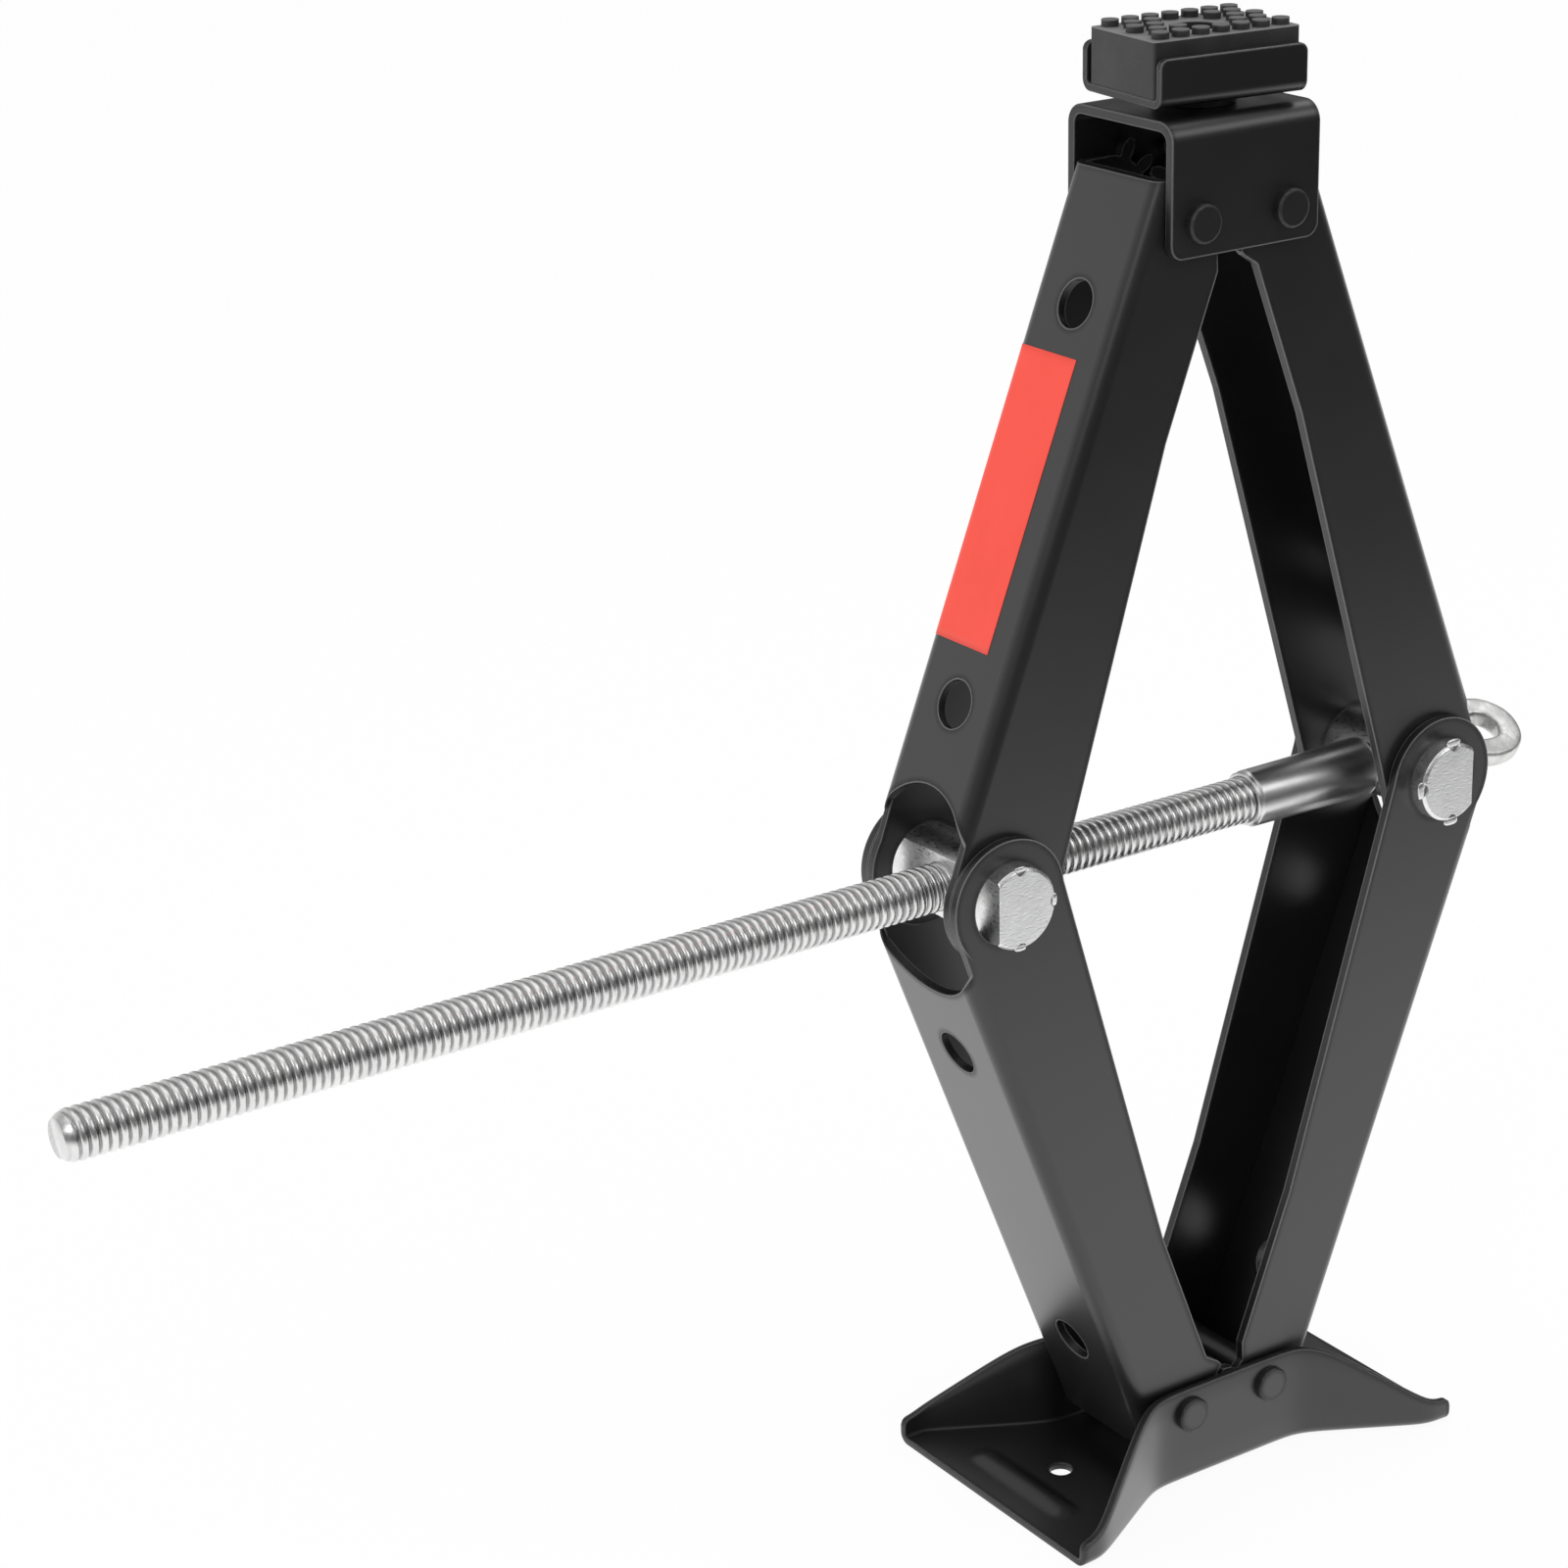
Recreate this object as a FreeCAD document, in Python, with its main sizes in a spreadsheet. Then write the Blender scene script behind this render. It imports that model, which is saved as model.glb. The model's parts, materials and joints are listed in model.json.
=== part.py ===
import FreeCAD, Part
import math
import os

# Scissor jack with a hand-turned screw, in millimetres.
# X runs along the screw towards the crank eye, Y across the jack, Z up.
# The origin is on the ground, under the middle of the base.

Vector = FreeCAD.Vector

# Driving sizes: name, value, meaning.
SIZES = (
    ("arm_length", 166.8, "end pivot to trunnion"),
    ("pivot_spacing", 26.8, "between the two end pivots of a pair of arms"),
    ("base_pivot_height", 20.2, "ground to the base pivots"),
    ("rest_angle", 70.25, "lift of the arms above level, as drawn"),
    ("sheet", 2.4, "pressed sheet of arms, base and bracket"),
    ("flange_gap", 0.25, "side play between nested flanges"),
    ("upper_half_width", 16.8, "middle plane to the outside of an upper arm"),
    ("arm_bend", 4.0, "outside radius of the arm bends"),
    ("web_at_pivot", 13.4, "pivot line to the web's outside at the end pivot"),
    ("web_at_trunnion", 18.4, "pivot line to the web's outside at the trunnion"),
    ("web_overhang", 6.2, "web past the end pivot"),
    ("flange_at_pivot", 11.3, "pivot line to the flange edge beside the teeth"),
    ("flange_at_knee", 10.3, "pivot line to the flange edge at its knee"),
    ("flange_at_trunnion", 16.1, "pivot line to the flange edge at the trunnion"),
    ("flange_knee", 52.0, "end pivot to the knee of the flange edge"),
    ("flange_start", 9.8, "end pivot to where the straight flange edge starts"),
    ("ear_radius", 16.3, "round ear about the trunnion"),
    ("arch_reach", 22.0, "trunnion to the top of the screw cut-out in the web"),
    ("arch_side", 10.0, "trunnion to the cut-out where it meets the flanges"),
    ("arch_floor", 15.9, "pivot line to the depth of the cut-out"),
    ("web_hole_radius", 6.0, "round holes in the webs"),
    ("web_hole_low", 25.6, "end pivot to the first web hole"),
    ("web_hole_high", 42.4, "trunnion to the second web hole"),
    ("gear_teeth", 12, "teeth that a whole wheel would have"),
    ("gear_sector", 5, "teeth on the sector that starts with a tooth"),
    ("gear_first", -69.75, "angle of the first tooth from the arm"),
    ("gear_pressure", 20.0, "pressure angle of the teeth"),
    ("gear_addendum", 2.0, "pitch circle to the tooth tips"),
    ("gear_root_gap", 0.75, "tooth tip to the root it runs in"),
    ("gear_backlash", 0.3, "play between flanks on the pitch circle"),
    ("running_gap", 0.05, "radial play of pins and screw in their holes"),
    ("rivet_radius", 4.0, "shank of the end pivots"),
    ("rivet_head_radius", 4.75, "formed heads of the end pivots"),
    ("rivet_head_height", 2.0, "formed heads of the end pivots"),
    ("rivet_edge", 0.4, "chamfer of the formed heads"),
    ("trunnion_radius", 10.4, "trunnion bar"),
    ("trunnion_stand_out", 4.5, "trunnion past the lower arm"),
    ("trunnion_flat", 6.6, "bar axis to its flat"),
    ("trunnion_edge", 0.7, "chamfer of the bar ends"),
    ("stake_radius", 1.7, "staked marks on the bar rims"),
    ("stake_depth", 1.5, "staked marks on the bar rims"),
    ("screw_radius", 6.0, "screw over its thread"),
    ("screw_tail", 237.9, "nut trunnion to the free end of the screw"),
    ("screw_edge", 1.2, "chamfer of the free end"),
    ("sleeve_length", 40.0, "crimped sleeve"),
    ("sleeve_wall", 1.35, "sleeve at its free end"),
    ("sleeve_flare", 0.4, "widening of the sleeve towards the trunnion"),
    ("sleeve_gap", 0.3, "sleeve to the trunnion bar"),
    ("washer_radius", 10.0, "thrust washers"),
    ("seat_washer", 2.0, "thickness of the still thrust washer"),
    ("turning_washer", 1.6, "thickness of the turning thrust washer"),
    ("collar_radius", 9.0, "forged collar of the screw"),
    ("collar_length", 4.0, "forged collar of the screw"),
    ("neck_end_radius", 3.0, "neck where it runs into the eye"),
    ("eye_reach", 16.9, "collar to the middle of the eye"),
    ("eye_radius", 11.0, "outside of the eye"),
    ("eye_hole_radius", 4.6, "hole of the eye"),
    ("eye_stretch", 1.1, "half the straight run of the eye's outline"),
    ("eye_thickness", 5.8, "flattened eye"),
    ("eye_edge", 1.0, "rounding of the eye"),
    ("eye_turn", 25.7, "turn of the eye about the screw, as drawn"),
    ("bracket_overhang", 9.05, "top pivots to the ends of the bracket"),
    ("bracket_rise", 24.1, "top pivots to the top of the bracket"),
    ("bracket_drop", 8.0, "top pivots to the lower edge of the bracket"),
    ("bracket_bend", 5.0, "outside radius of the bracket bends"),
    ("bracket_corner", 3.5, "lower corners of the bracket"),
    ("washer_height", 2.3, "washer between bracket and saddle"),
    ("saddle_washer_radius", 10.0, "washer between bracket and saddle"),
    ("saddle_length", 41.2, "saddle along the screw"),
    ("saddle_width", 33.4, "saddle over its walls"),
    ("saddle_height", 11.7, "saddle walls"),
    ("saddle_sheet", 2.0, "sheet of the saddle"),
    ("saddle_bend", 3.0, "outside radius of the saddle bends"),
    ("saddle_corner", 2.2, "upper corners of the saddle walls"),
    ("saddle_turn", -5.75, "swivel of the saddle, as drawn"),
    ("saddle_play", 0.05, "end play of the swivel"),
    ("swivel_radius", 4.0, "shank of the saddle rivet"),
    ("swivel_head_radius", 5.2, "heads of the saddle rivet"),
    ("swivel_head_height", 2.2, "heads of the saddle rivet"),
    ("pad_length", 40.7, "rubber pad along the saddle"),
    ("pad_side_gap", 1.05, "rubber pad to the saddle walls"),
    ("pad_height", 13.3, "rubber pad without its studs"),
    ("pad_corner", 0.8, "upright corners of the rubber pad"),
    ("pad_hole_radius", 5.75, "hole over the saddle rivet"),
    ("stud_radius", 2.1, "studs of the rubber pad"),
    ("stud_height", 1.8, "studs of the rubber pad"),
    ("stud_pitch", 5.6, "studs along a row"),
    ("stud_row_pitch", 5.3, "between rows of studs"),
    ("base_half_length", 62.5, "middle to the base's end edge"),
    ("base_corner_half_width", 39.6, "middle plane to the outside at a corner"),
    ("base_flare_start", 37.5, "end edge back to the start of the flare"),
    ("base_flare_end", 6.3, "end edge back to the end of the flare"),
    ("base_waist_round", 20.0, "radius from the waist into the flare"),
    ("base_corner_round", 13.0, "radius from the flare to the corner"),
    ("base_ear_height", 27.3, "ground to the top of the pivot walls"),
    ("base_lip_height", 4.6, "ground to the top of the corner lips"),
    ("base_slope_start", 33.5, "end edge back to the top of the sloping wall edge"),
    ("base_slope_end", 5.5, "end edge back to the foot of the sloping wall edge"),
    ("base_slope_round", 24.0, "radius at the top of the slope"),
    ("base_foot_round", 12.0, "radius at the foot of the slope"),
    ("base_bend", 3.0, "outside radius along the base's lower edge"),
    ("base_hole_place", 23.5, "end edge back to a floor hole"),
    ("base_hole_radius", 3.0, "floor holes"),
    ("rib_place", 11.5, "end edge back to a pressed rib"),
    ("rib_length", 38.0, "pressed ribs across the floor"),
    ("rib_width", 5.0, "pressed ribs across the floor"),
    ("rib_height", 1.2, "pressed ribs across the floor"),
)

doc = FreeCAD.newDocument("scissor_jack")
sheet = doc.addObject("Spreadsheet::Sheet", "sizes")
for row, (alias, value, meaning) in enumerate(SIZES, 1):
    sheet.set(f"A{row}", alias)
    sheet.set(f"B{row}", str(value))
    sheet.setAlias(f"B{row}", alias)
    sheet.set(f"C{row}", meaning)
doc.recompute()


def size(alias):
    """Value of one driving size."""
    return float(sheet.get(alias))


# Sizes that several pieces share, worked out from the driving ones.
T = size("sheet")
HALF_SPACING = size("pivot_spacing") / 2
RISE = size("arm_length") * math.sin(math.radians(size("rest_angle")))
SPREAD = HALF_SPACING + size("arm_length") * math.cos(math.radians(size("rest_angle")))
BASE_PIVOT = size("base_pivot_height")
SCREW_HEIGHT = BASE_PIVOT + RISE
TOP_PIVOT = SCREW_HEIGHT + RISE
UPPER_OUT = size("upper_half_width")
LOWER_OUT = UPPER_OUT + size("flange_gap") + T
BASE_OUT = LOWER_OUT + size("flange_gap") + T
RIVET_HOLE = size("rivet_radius") + size("running_gap")
TRUNNION_HOLE = size("trunnion_radius") + size("running_gap")
SCREW_HOLE = size("screw_radius") + size("running_gap")
BRACKET_TOP = TOP_PIVOT + size("bracket_rise")
SADDLE_FLOOR = BRACKET_TOP + size("washer_height") + size("saddle_play")
FAR = 4 * size("arm_length")

# One of them as an expression of the sheet.
LOWER_OUT_EXPR = "(sizes.upper_half_width + sizes.flange_gap + sizes.sheet)"


# Helpers for bodies, sketches and features

def new_body(label):
    """An empty body whose label is the piece's name."""
    body = doc.addObject("PartDesign::Body", label)
    body.Label = label
    return body


def new_sketch(body, role, edges, height=0.0):
    """A sketch of the edges on one of the body's origin planes, moved along its normal."""
    sketch = body.newObject("Sketcher::SketchObject", "outline")
    plane = next(item for item in body.Origin.OriginFeatures if item.Role == role)
    sketch.AttachmentSupport = [(plane, "")]
    sketch.MapMode = "FlatFace"
    sketch.AttachmentOffset = FreeCAD.Placement(Vector(0, 0, height), FreeCAD.Rotation())
    sketch.addGeometry(edges, False)
    return sketch


def pad(body, sketch, length, symmetric=False):
    """Material along the sketch's normal; length is an expression of the sheet."""
    feature = body.newObject("PartDesign::Pad", "pad")
    feature.Profile = sketch
    feature.SideType = "Symmetric" if symmetric else "One side"
    feature.setExpression("Length", length)
    doc.recompute()
    return feature


def pocket(body, sketch, length=None, symmetric=False, along_normal=False):
    """A cut from the sketch, right through when no length is given, which must remove material."""
    before = body.Tip.Shape.Volume
    feature = body.newObject("PartDesign::Pocket", "pocket")
    feature.Profile = sketch
    feature.SideType = "Symmetric" if symmetric else "One side"
    feature.Reversed = along_normal
    if length is None:
        feature.Type = "ThroughAll"
    else:
        feature.setExpression("Length", length)
    doc.recompute()
    if feature.Shape.Volume >= before:
        raise RuntimeError(body.Label + ": a pocket cut nothing")
    return feature


def fillet(body, radius, chosen):
    """Round the edges of the body so far for which chosen(edge) is true."""
    base = body.Tip
    names = [f"Edge{i}" for i, edge in enumerate(base.Shape.Edges, 1) if chosen(edge)]
    if not names:
        raise RuntimeError(body.Label + ": no edge to round")
    feature = body.newObject("PartDesign::Fillet", "fillet")
    feature.Base = (base, names)
    feature.setExpression("Radius", radius)
    doc.recompute()
    return feature


def turn(body, profile):
    """Material turned about the body's Z axis from a closed profile of (radius, height) corners."""
    sketch = new_sketch(body, "XZ_Plane", rounded([(radius, z, 0) for radius, z in profile]))
    feature = body.newObject("PartDesign::Revolution", "turning")
    feature.Profile = sketch
    feature.ReferenceAxis = (sketch, ["V_Axis"])
    feature.Angle = 360
    doc.recompute()
    return feature


def turned(label, profile):
    """A body that is turned in one go."""
    body = new_body(label)
    turn(body, profile)
    return body


def rounded(corners):
    """Lines and tangent arcs of a closed outline; each corner is (x, y, radius)."""
    points = [Vector(x, y, 0) for x, y, radius in corners]
    cuts = []
    for i, here in enumerate(points):
        radius = corners[i][2]
        back = (points[i - 1] - here).normalize()
        ahead = (points[(i + 1) % len(points)] - here).normalize()
        if radius == 0:
            cuts.append((here, None, here))
            continue
        half = back.getAngle(ahead) / 2
        reach = radius / math.tan(half)
        middle = here + (back + ahead).normalize() * (radius / math.sin(half) - radius)
        cuts.append((here + back * reach, middle, here + ahead * reach))
    edges = []
    for i, (start, middle, end) in enumerate(cuts):
        if middle is not None:
            edges.append(Part.Arc(start, middle, end))
        following = cuts[(i + 1) % len(cuts)][0]
        edges.append(Part.LineSegment(end, following))
    return edges


def circle(x, y, radius):
    """A full circle for a sketch."""
    return Part.Circle(Vector(x, y, 0), Vector(0, 0, 1), radius)


def slot(x, y, half_run, radius):
    """A slot along the sketch's second axis, with round ends, centred on x and y."""
    low = Vector(x, y - half_run, 0)
    high = Vector(x, y + half_run, 0)
    across = Vector(radius, 0, 0)
    out = Vector(0, radius, 0)
    return [
        Part.LineSegment(low + across, high + across),
        Part.Arc(high + across, high + out, high - across),
        Part.LineSegment(high - across, low - across),
        Part.Arc(low - across, low - out, low + across),
    ]


def mirrored_corners(corners):
    """An outline's corners on one side of the Y axis, followed by their mirror images."""
    return corners + [(-x, y, radius) for x, y, radius in reversed(corners)]


def stand(x, y, z, axis=Vector(0, 0, 1), turn=0.0):
    """Placement at a point with the body's Z along the axis, turned about it first."""
    aim = FreeCAD.Rotation(Vector(0, 0, 1), axis)
    return FreeCAD.Placement(Vector(x, y, z), aim.multiply(FreeCAD.Rotation(Vector(0, 0, 1), turn)))


# Gear sectors on the arm ends

def polar(radius, degrees):
    """A point about the end pivot."""
    angle = math.radians(degrees)
    return Vector(radius * math.cos(angle), radius * math.sin(angle), 0)


def involute(angle):
    """The involute function of a pressure angle in radians."""
    return math.tan(angle) - angle


PITCH_RADIUS = HALF_SPACING
TIP_RADIUS = PITCH_RADIUS + size("gear_addendum")
ROOT_RADIUS = PITCH_RADIUS - size("gear_addendum") - size("gear_root_gap")
FLANK_RADIUS = PITCH_RADIUS * math.cos(math.radians(size("gear_pressure")))
TOOTH_STEP = 360 / size("gear_teeth")


def half_tooth(radius):
    """Half the angle that a tooth takes up at a radius, in degrees."""
    at_pitch = math.pi / (2 * size("gear_teeth")) - size("gear_backlash") / (4 * PITCH_RADIUS)
    pressure = math.acos(FLANK_RADIUS / radius)
    return math.degrees(at_pitch + involute(math.radians(size("gear_pressure"))) - involute(pressure))


def arc_about_pivot(radius, start, end):
    """An arc about the end pivot between two angles."""
    return Part.Arc(polar(radius, start), polar(radius, (start + end) / 2), polar(radius, end))


def flank(middle, side):
    """One flank of a tooth from its foot to its tip; side is +1 or -1."""
    radii = (FLANK_RADIUS, (FLANK_RADIUS + TIP_RADIUS) / 2, TIP_RADIUS)
    return [polar(radius, middle + side * half_tooth(radius)) for radius in radii]


def tooth_row(first, count, start_with_tooth):
    """Edges of a row of teeth, going down in angle, from a tooth's tip or from the foot before it."""
    edges = []
    root_half = half_tooth(FLANK_RADIUS)
    tip_half = half_tooth(TIP_RADIUS)
    for i in range(count):
        middle = first - i * TOOTH_STEP
        up_foot, up_waist, up_tip = flank(middle, 1)
        down_foot, down_waist, down_tip = flank(middle, -1)
        if i > 0 or not start_with_tooth:
            edges.append(Part.LineSegment(polar(ROOT_RADIUS, middle + root_half), up_foot))
            edges.append(Part.Arc(up_foot, up_waist, up_tip))
        edges.append(arc_about_pivot(TIP_RADIUS, middle + tip_half, middle - tip_half))
        edges.append(Part.Arc(down_tip, down_waist, down_foot))
        edges.append(Part.LineSegment(down_foot, polar(ROOT_RADIUS, middle - root_half)))
        if i < count - 1:
            following = middle - TOOTH_STEP + root_half
            edges.append(arc_about_pivot(ROOT_RADIUS, middle - root_half, following))
    return edges


# Arms

def web_line(x):
    """Outside of the web at a place along the arm."""
    share = x / size("arm_length")
    return size("web_at_pivot") + (size("web_at_trunnion") - size("web_at_pivot")) * share


def arm_outline(start_with_tooth):
    """Side view of an arm: end pivot at the origin, trunnion along +X, web towards +Y."""
    length = size("arm_length")
    count = int(size("gear_sector"))
    first = size("gear_first")
    root_half = half_tooth(FLANK_RADIUS)
    last_root = first - (count - 1) * TOOTH_STEP - root_half
    if not start_with_tooth:
        first = first - TOOTH_STEP / 2
        count = count - 1
    edges = tooth_row(first, count, start_with_tooth)
    start = polar(TIP_RADIUS, first + half_tooth(TIP_RADIUS))
    if not start_with_tooth:
        start = polar(ROOT_RADIUS, size("gear_first") + root_half)
        edges.insert(0, arc_about_pivot(ROOT_RADIUS, size("gear_first") + root_half, first + root_half))
        tail = first - (count - 1) * TOOTH_STEP - root_half
        edges.append(arc_about_pivot(ROOT_RADIUS, tail, last_root))
    corners = [
        polar(ROOT_RADIUS, last_root),
        Vector(-size("web_overhang"), web_line(-size("web_overhang")), 0),
        Vector(length, web_line(length), 0),
        Vector(length, -size("flange_at_trunnion"), 0),
        Vector(size("flange_knee"), -size("flange_at_knee"), 0),
        Vector(size("flange_start"), -size("flange_at_pivot"), 0),
        start,
    ]
    for here, following in zip(corners, corners[1:]):
        edges.append(Part.LineSegment(here, following))
    return edges


def arch_edges(half_width, half):
    """Outline of the screw cut-out in plan, out to half on both sides, on an arc that spans the whole arm."""
    apex = size("arm_length") - size("arch_reach")
    depth = size("arch_reach") - size("arch_side")
    radius = (depth ** 2 + half_width ** 2) / (2 * depth)
    end = apex + radius - math.sqrt(radius ** 2 - half ** 2)
    return [
        Part.Arc(Vector(end, -half, 0), Vector(apex, 0, 0), Vector(end, half, 0)),
        Part.LineSegment(Vector(end, half, 0), Vector(FAR, half, 0)),
        Part.LineSegment(Vector(FAR, half, 0), Vector(FAR, -half, 0)),
        Part.LineSegment(Vector(FAR, -half, 0), Vector(end, -half, 0)),
    ]


def make_arm(label, half_width, half_width_expr, start_with_tooth):
    """A channel-section arm with toothed flange ends, round ears, web holes and a screw cut-out."""
    length = size("arm_length")
    body = new_body(label)
    outline = new_sketch(body, "XZ_Plane", arm_outline(start_with_tooth))
    pad(body, outline, f"2 * {half_width_expr}", symmetric=True)

    def bend_edge(edge):
        low = web_line(-size("web_overhang")) - T
        ends = [vertex.Point for vertex in edge.Vertexes]
        on_side = all(abs(abs(p.y) - half_width) < 0.01 for p in ends)
        return on_side and len(ends) == 2 and all(p.z > low for p in ends) and edge.Length > length / 2

    fillet(body, "sizes.arm_bend", bend_edge)
    rim = new_sketch(body, "XY_Plane", arch_edges(half_width, half_width), size("arch_floor"))
    pocket(body, rim, along_normal=True)
    between = new_sketch(body, "XY_Plane", arch_edges(half_width, half_width - T))
    pocket(body, between, along_normal=True)
    side = length - size("arch_side")
    ear = [circle(length, 0, size("ear_radius"))]
    pad(body, new_sketch(body, "XZ_Plane", ear), f"2 * {half_width_expr}", symmetric=True)
    inside = [
        (-FAR, -FAR, 0),
        (FAR, -FAR, 0),
        (FAR, FAR, 0),
        (side, FAR, 0),
        (side, web_line(side) - T, 0),
        (-FAR, web_line(-FAR) - T, 0),
    ]
    channel = new_sketch(body, "XZ_Plane", rounded(inside))
    pocket(body, channel, f"2 * ({half_width_expr} - sizes.sheet)", symmetric=True)
    holes = [circle(0, 0, RIVET_HOLE), circle(length, 0, TRUNNION_HOLE)]
    pocket(body, new_sketch(body, "XZ_Plane", holes), symmetric=True)
    places = (size("web_hole_low"), length - size("web_hole_high"))
    web_holes = [circle(x, 0, size("web_hole_radius")) for x in places]
    pocket(body, new_sketch(body, "XY_Plane", web_holes), along_normal=True)
    return body


def arm_placement(x_side, z_side):
    """Placement of an arm: x_side -1 left or +1 right, z_side +1 lower or -1 upper."""
    angle = math.radians(size("rest_angle"))
    along = Vector(x_side * math.cos(angle), 0, z_side * math.sin(angle))
    outward = Vector(x_side * math.sin(angle), 0, -z_side * math.cos(angle))
    turn = FreeCAD.Rotation(along, outward.cross(along), outward, "XZY")
    pivot = BASE_PIVOT if z_side > 0 else TOP_PIVOT
    return FreeCAD.Placement(Vector(x_side * HALF_SPACING, 0, pivot), turn)


# Base

def base_plan(inset, end):
    """Corners of the base in plan, all round, inset from the outside by a wall."""
    start = size("base_half_length") - size("base_flare_start")
    stop = size("base_half_length") - size("base_flare_end")
    bend = math.atan2(size("base_corner_half_width") - BASE_OUT, stop - start)
    shift = inset * math.tan(bend / 2)
    waist = BASE_OUT - inset
    corner = size("base_corner_half_width") - inset
    quarter = [
        (start + shift, waist, size("base_waist_round") + inset),
        (stop + shift, corner, size("base_corner_round") - inset),
        (end, corner, 0),
    ]
    right = quarter + [(x, -y, radius) for x, y, radius in reversed(quarter)]
    return mirrored_corners(right)


def base_edge_profile():
    """The space above the wall's upper edge in side view."""
    end = size("base_half_length")
    half = [
        (end - size("base_slope_start"), size("base_ear_height"), size("base_slope_round")),
        (end - size("base_slope_end"), size("base_lip_height"), size("base_foot_round")),
        (FAR, size("base_lip_height"), 0),
        (FAR, FAR, 0),
    ]
    return mirrored_corners(half)


def make_base():
    """Pressed base: waisted floor, walls that rise to the pivots, ribs and floor holes."""
    end = size("base_half_length")
    body = new_body("base_plate")
    pad(body, new_sketch(body, "XY_Plane", rounded(base_plan(0, end))), "sizes.base_ear_height")
    inside = new_sketch(body, "XY_Plane", rounded(base_plan(T, FAR)), T)
    pocket(body, inside, along_normal=True)
    pocket(body, new_sketch(body, "XZ_Plane", rounded(base_edge_profile())), symmetric=True)

    def lower_edge(edge):
        box = edge.BoundBox
        return box.ZMax < 0.01 and box.XLength > 0.01

    fillet(body, "sizes.base_bend", lower_edge)
    pivots = [circle(side * HALF_SPACING, BASE_PIVOT, RIVET_HOLE) for side in (-1, 1)]
    pocket(body, new_sketch(body, "XZ_Plane", pivots), symmetric=True)
    hole = end - size("base_hole_place")
    floor_holes = [circle(side * hole, 0, size("base_hole_radius")) for side in (-1, 1)]
    pocket(body, new_sketch(body, "XY_Plane", floor_holes), along_normal=True)
    ridge = size("rib_width") / 2
    groove = ridge - size("rib_height")
    half_run = size("rib_length") / 2 - ridge
    places = [side * (end - size("rib_place")) for side in (-1, 1)]
    ridges = [edge for x in places for edge in slot(x, 0, half_run, ridge)]
    pad(body, new_sketch(body, "XY_Plane", ridges, T), "sizes.rib_height")
    grooves = [edge for x in places for edge in slot(x, 0, half_run, groove)]
    pocket(body, new_sketch(body, "XY_Plane", grooves), "sizes.rib_height", along_normal=True)
    return body


# Top bracket, saddle and pad

def make_bracket():
    """Inverted channel over the upper arm ends, with the pivot holes and the swivel hole."""
    body = new_body("top_bracket")
    low = TOP_PIVOT - size("bracket_drop")
    within = LOWER_OUT - T
    bend = size("bracket_bend")
    outer = mirrored_corners([(within, low, 0), (LOWER_OUT, low, 0), (LOWER_OUT, BRACKET_TOP, bend)])
    inner = [(-within, BRACKET_TOP - T, bend - T), (within, BRACKET_TOP - T, bend - T)]
    section = new_sketch(body, "YZ_Plane", rounded(outer + inner))
    pad(body, section, "sizes.pivot_spacing + 2 * sizes.bracket_overhang", symmetric=True)

    def lower_corner(edge):
        box = edge.BoundBox
        return box.ZMax < low + 0.01 and box.XLength < 0.01

    fillet(body, "sizes.bracket_corner", lower_corner)
    pivots = [circle(side * HALF_SPACING, TOP_PIVOT, RIVET_HOLE) for side in (-1, 1)]
    pocket(body, new_sketch(body, "XZ_Plane", pivots), symmetric=True)
    swivel = [circle(0, 0, size("swivel_radius") + size("running_gap"))]
    pocket(body, new_sketch(body, "XY_Plane", swivel), along_normal=True)
    return body


def make_saddle():
    """Channel open at the top that holds the pad and swivels on its rivet."""
    body = new_body("saddle")
    wall = size("saddle_sheet")
    half = size("saddle_width") / 2
    height = size("saddle_height")
    bend = size("saddle_bend")
    outer = mirrored_corners([(half - wall, height, 0), (half, height, 0), (half, 0, bend)])
    inner = [(wall - half, wall, bend - wall), (half - wall, wall, bend - wall)]
    pad(body, new_sketch(body, "YZ_Plane", rounded(outer + inner)), "sizes.saddle_length", symmetric=True)

    def upper_corner(edge):
        box = edge.BoundBox
        return box.ZMin > height - 0.01 and box.XLength < 0.01

    fillet(body, "sizes.saddle_corner", upper_corner)
    swivel = [circle(0, 0, size("swivel_radius") + size("running_gap"))]
    pocket(body, new_sketch(body, "XY_Plane", swivel), along_normal=True)
    body.Placement = stand(0, 0, SADDLE_FLOOR, turn=size("saddle_turn"))
    return body


def make_pad():
    """Rubber block with staggered rows of studs and a hole over the saddle rivet."""
    body = new_body("rubber_pad")
    half_x = size("pad_length") / 2
    half_y = size("saddle_width") / 2 - size("saddle_sheet") - size("pad_side_gap")
    corner = size("pad_corner")
    block = rounded([(x, y, corner) for x, y in
                     ((-half_x, -half_y), (half_x, -half_y), (half_x, half_y), (-half_x, half_y))])
    hole = circle(0, 0, size("pad_hole_radius"))
    pad(body, new_sketch(body, "XY_Plane", block + [hole]), "sizes.pad_height")
    keep_clear = size("pad_hole_radius") + size("stud_radius")
    reach = half_x - size("stud_radius")
    per_side = int(reach / size("stud_pitch"))
    rows = int((half_y - size("stud_radius")) / size("stud_row_pitch"))
    studs = []
    for row in range(-rows, rows + 1):
        shift = 0.5 if row % 2 else 0.0
        for column in range(-per_side, per_side + 1):
            x = (column + shift) * size("stud_pitch")
            y = row * size("stud_row_pitch")
            outside = abs(x) > reach
            if not outside and math.hypot(x, y) > keep_clear:
                studs.append(circle(x, y, size("stud_radius")))
    pad(body, new_sketch(body, "XY_Plane", studs, size("pad_height")), "sizes.stud_height")
    body.Placement = stand(0, 0, SADDLE_FLOOR + size("saddle_sheet"), turn=size("saddle_turn"))
    return body


# Pins, screw and washers

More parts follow.
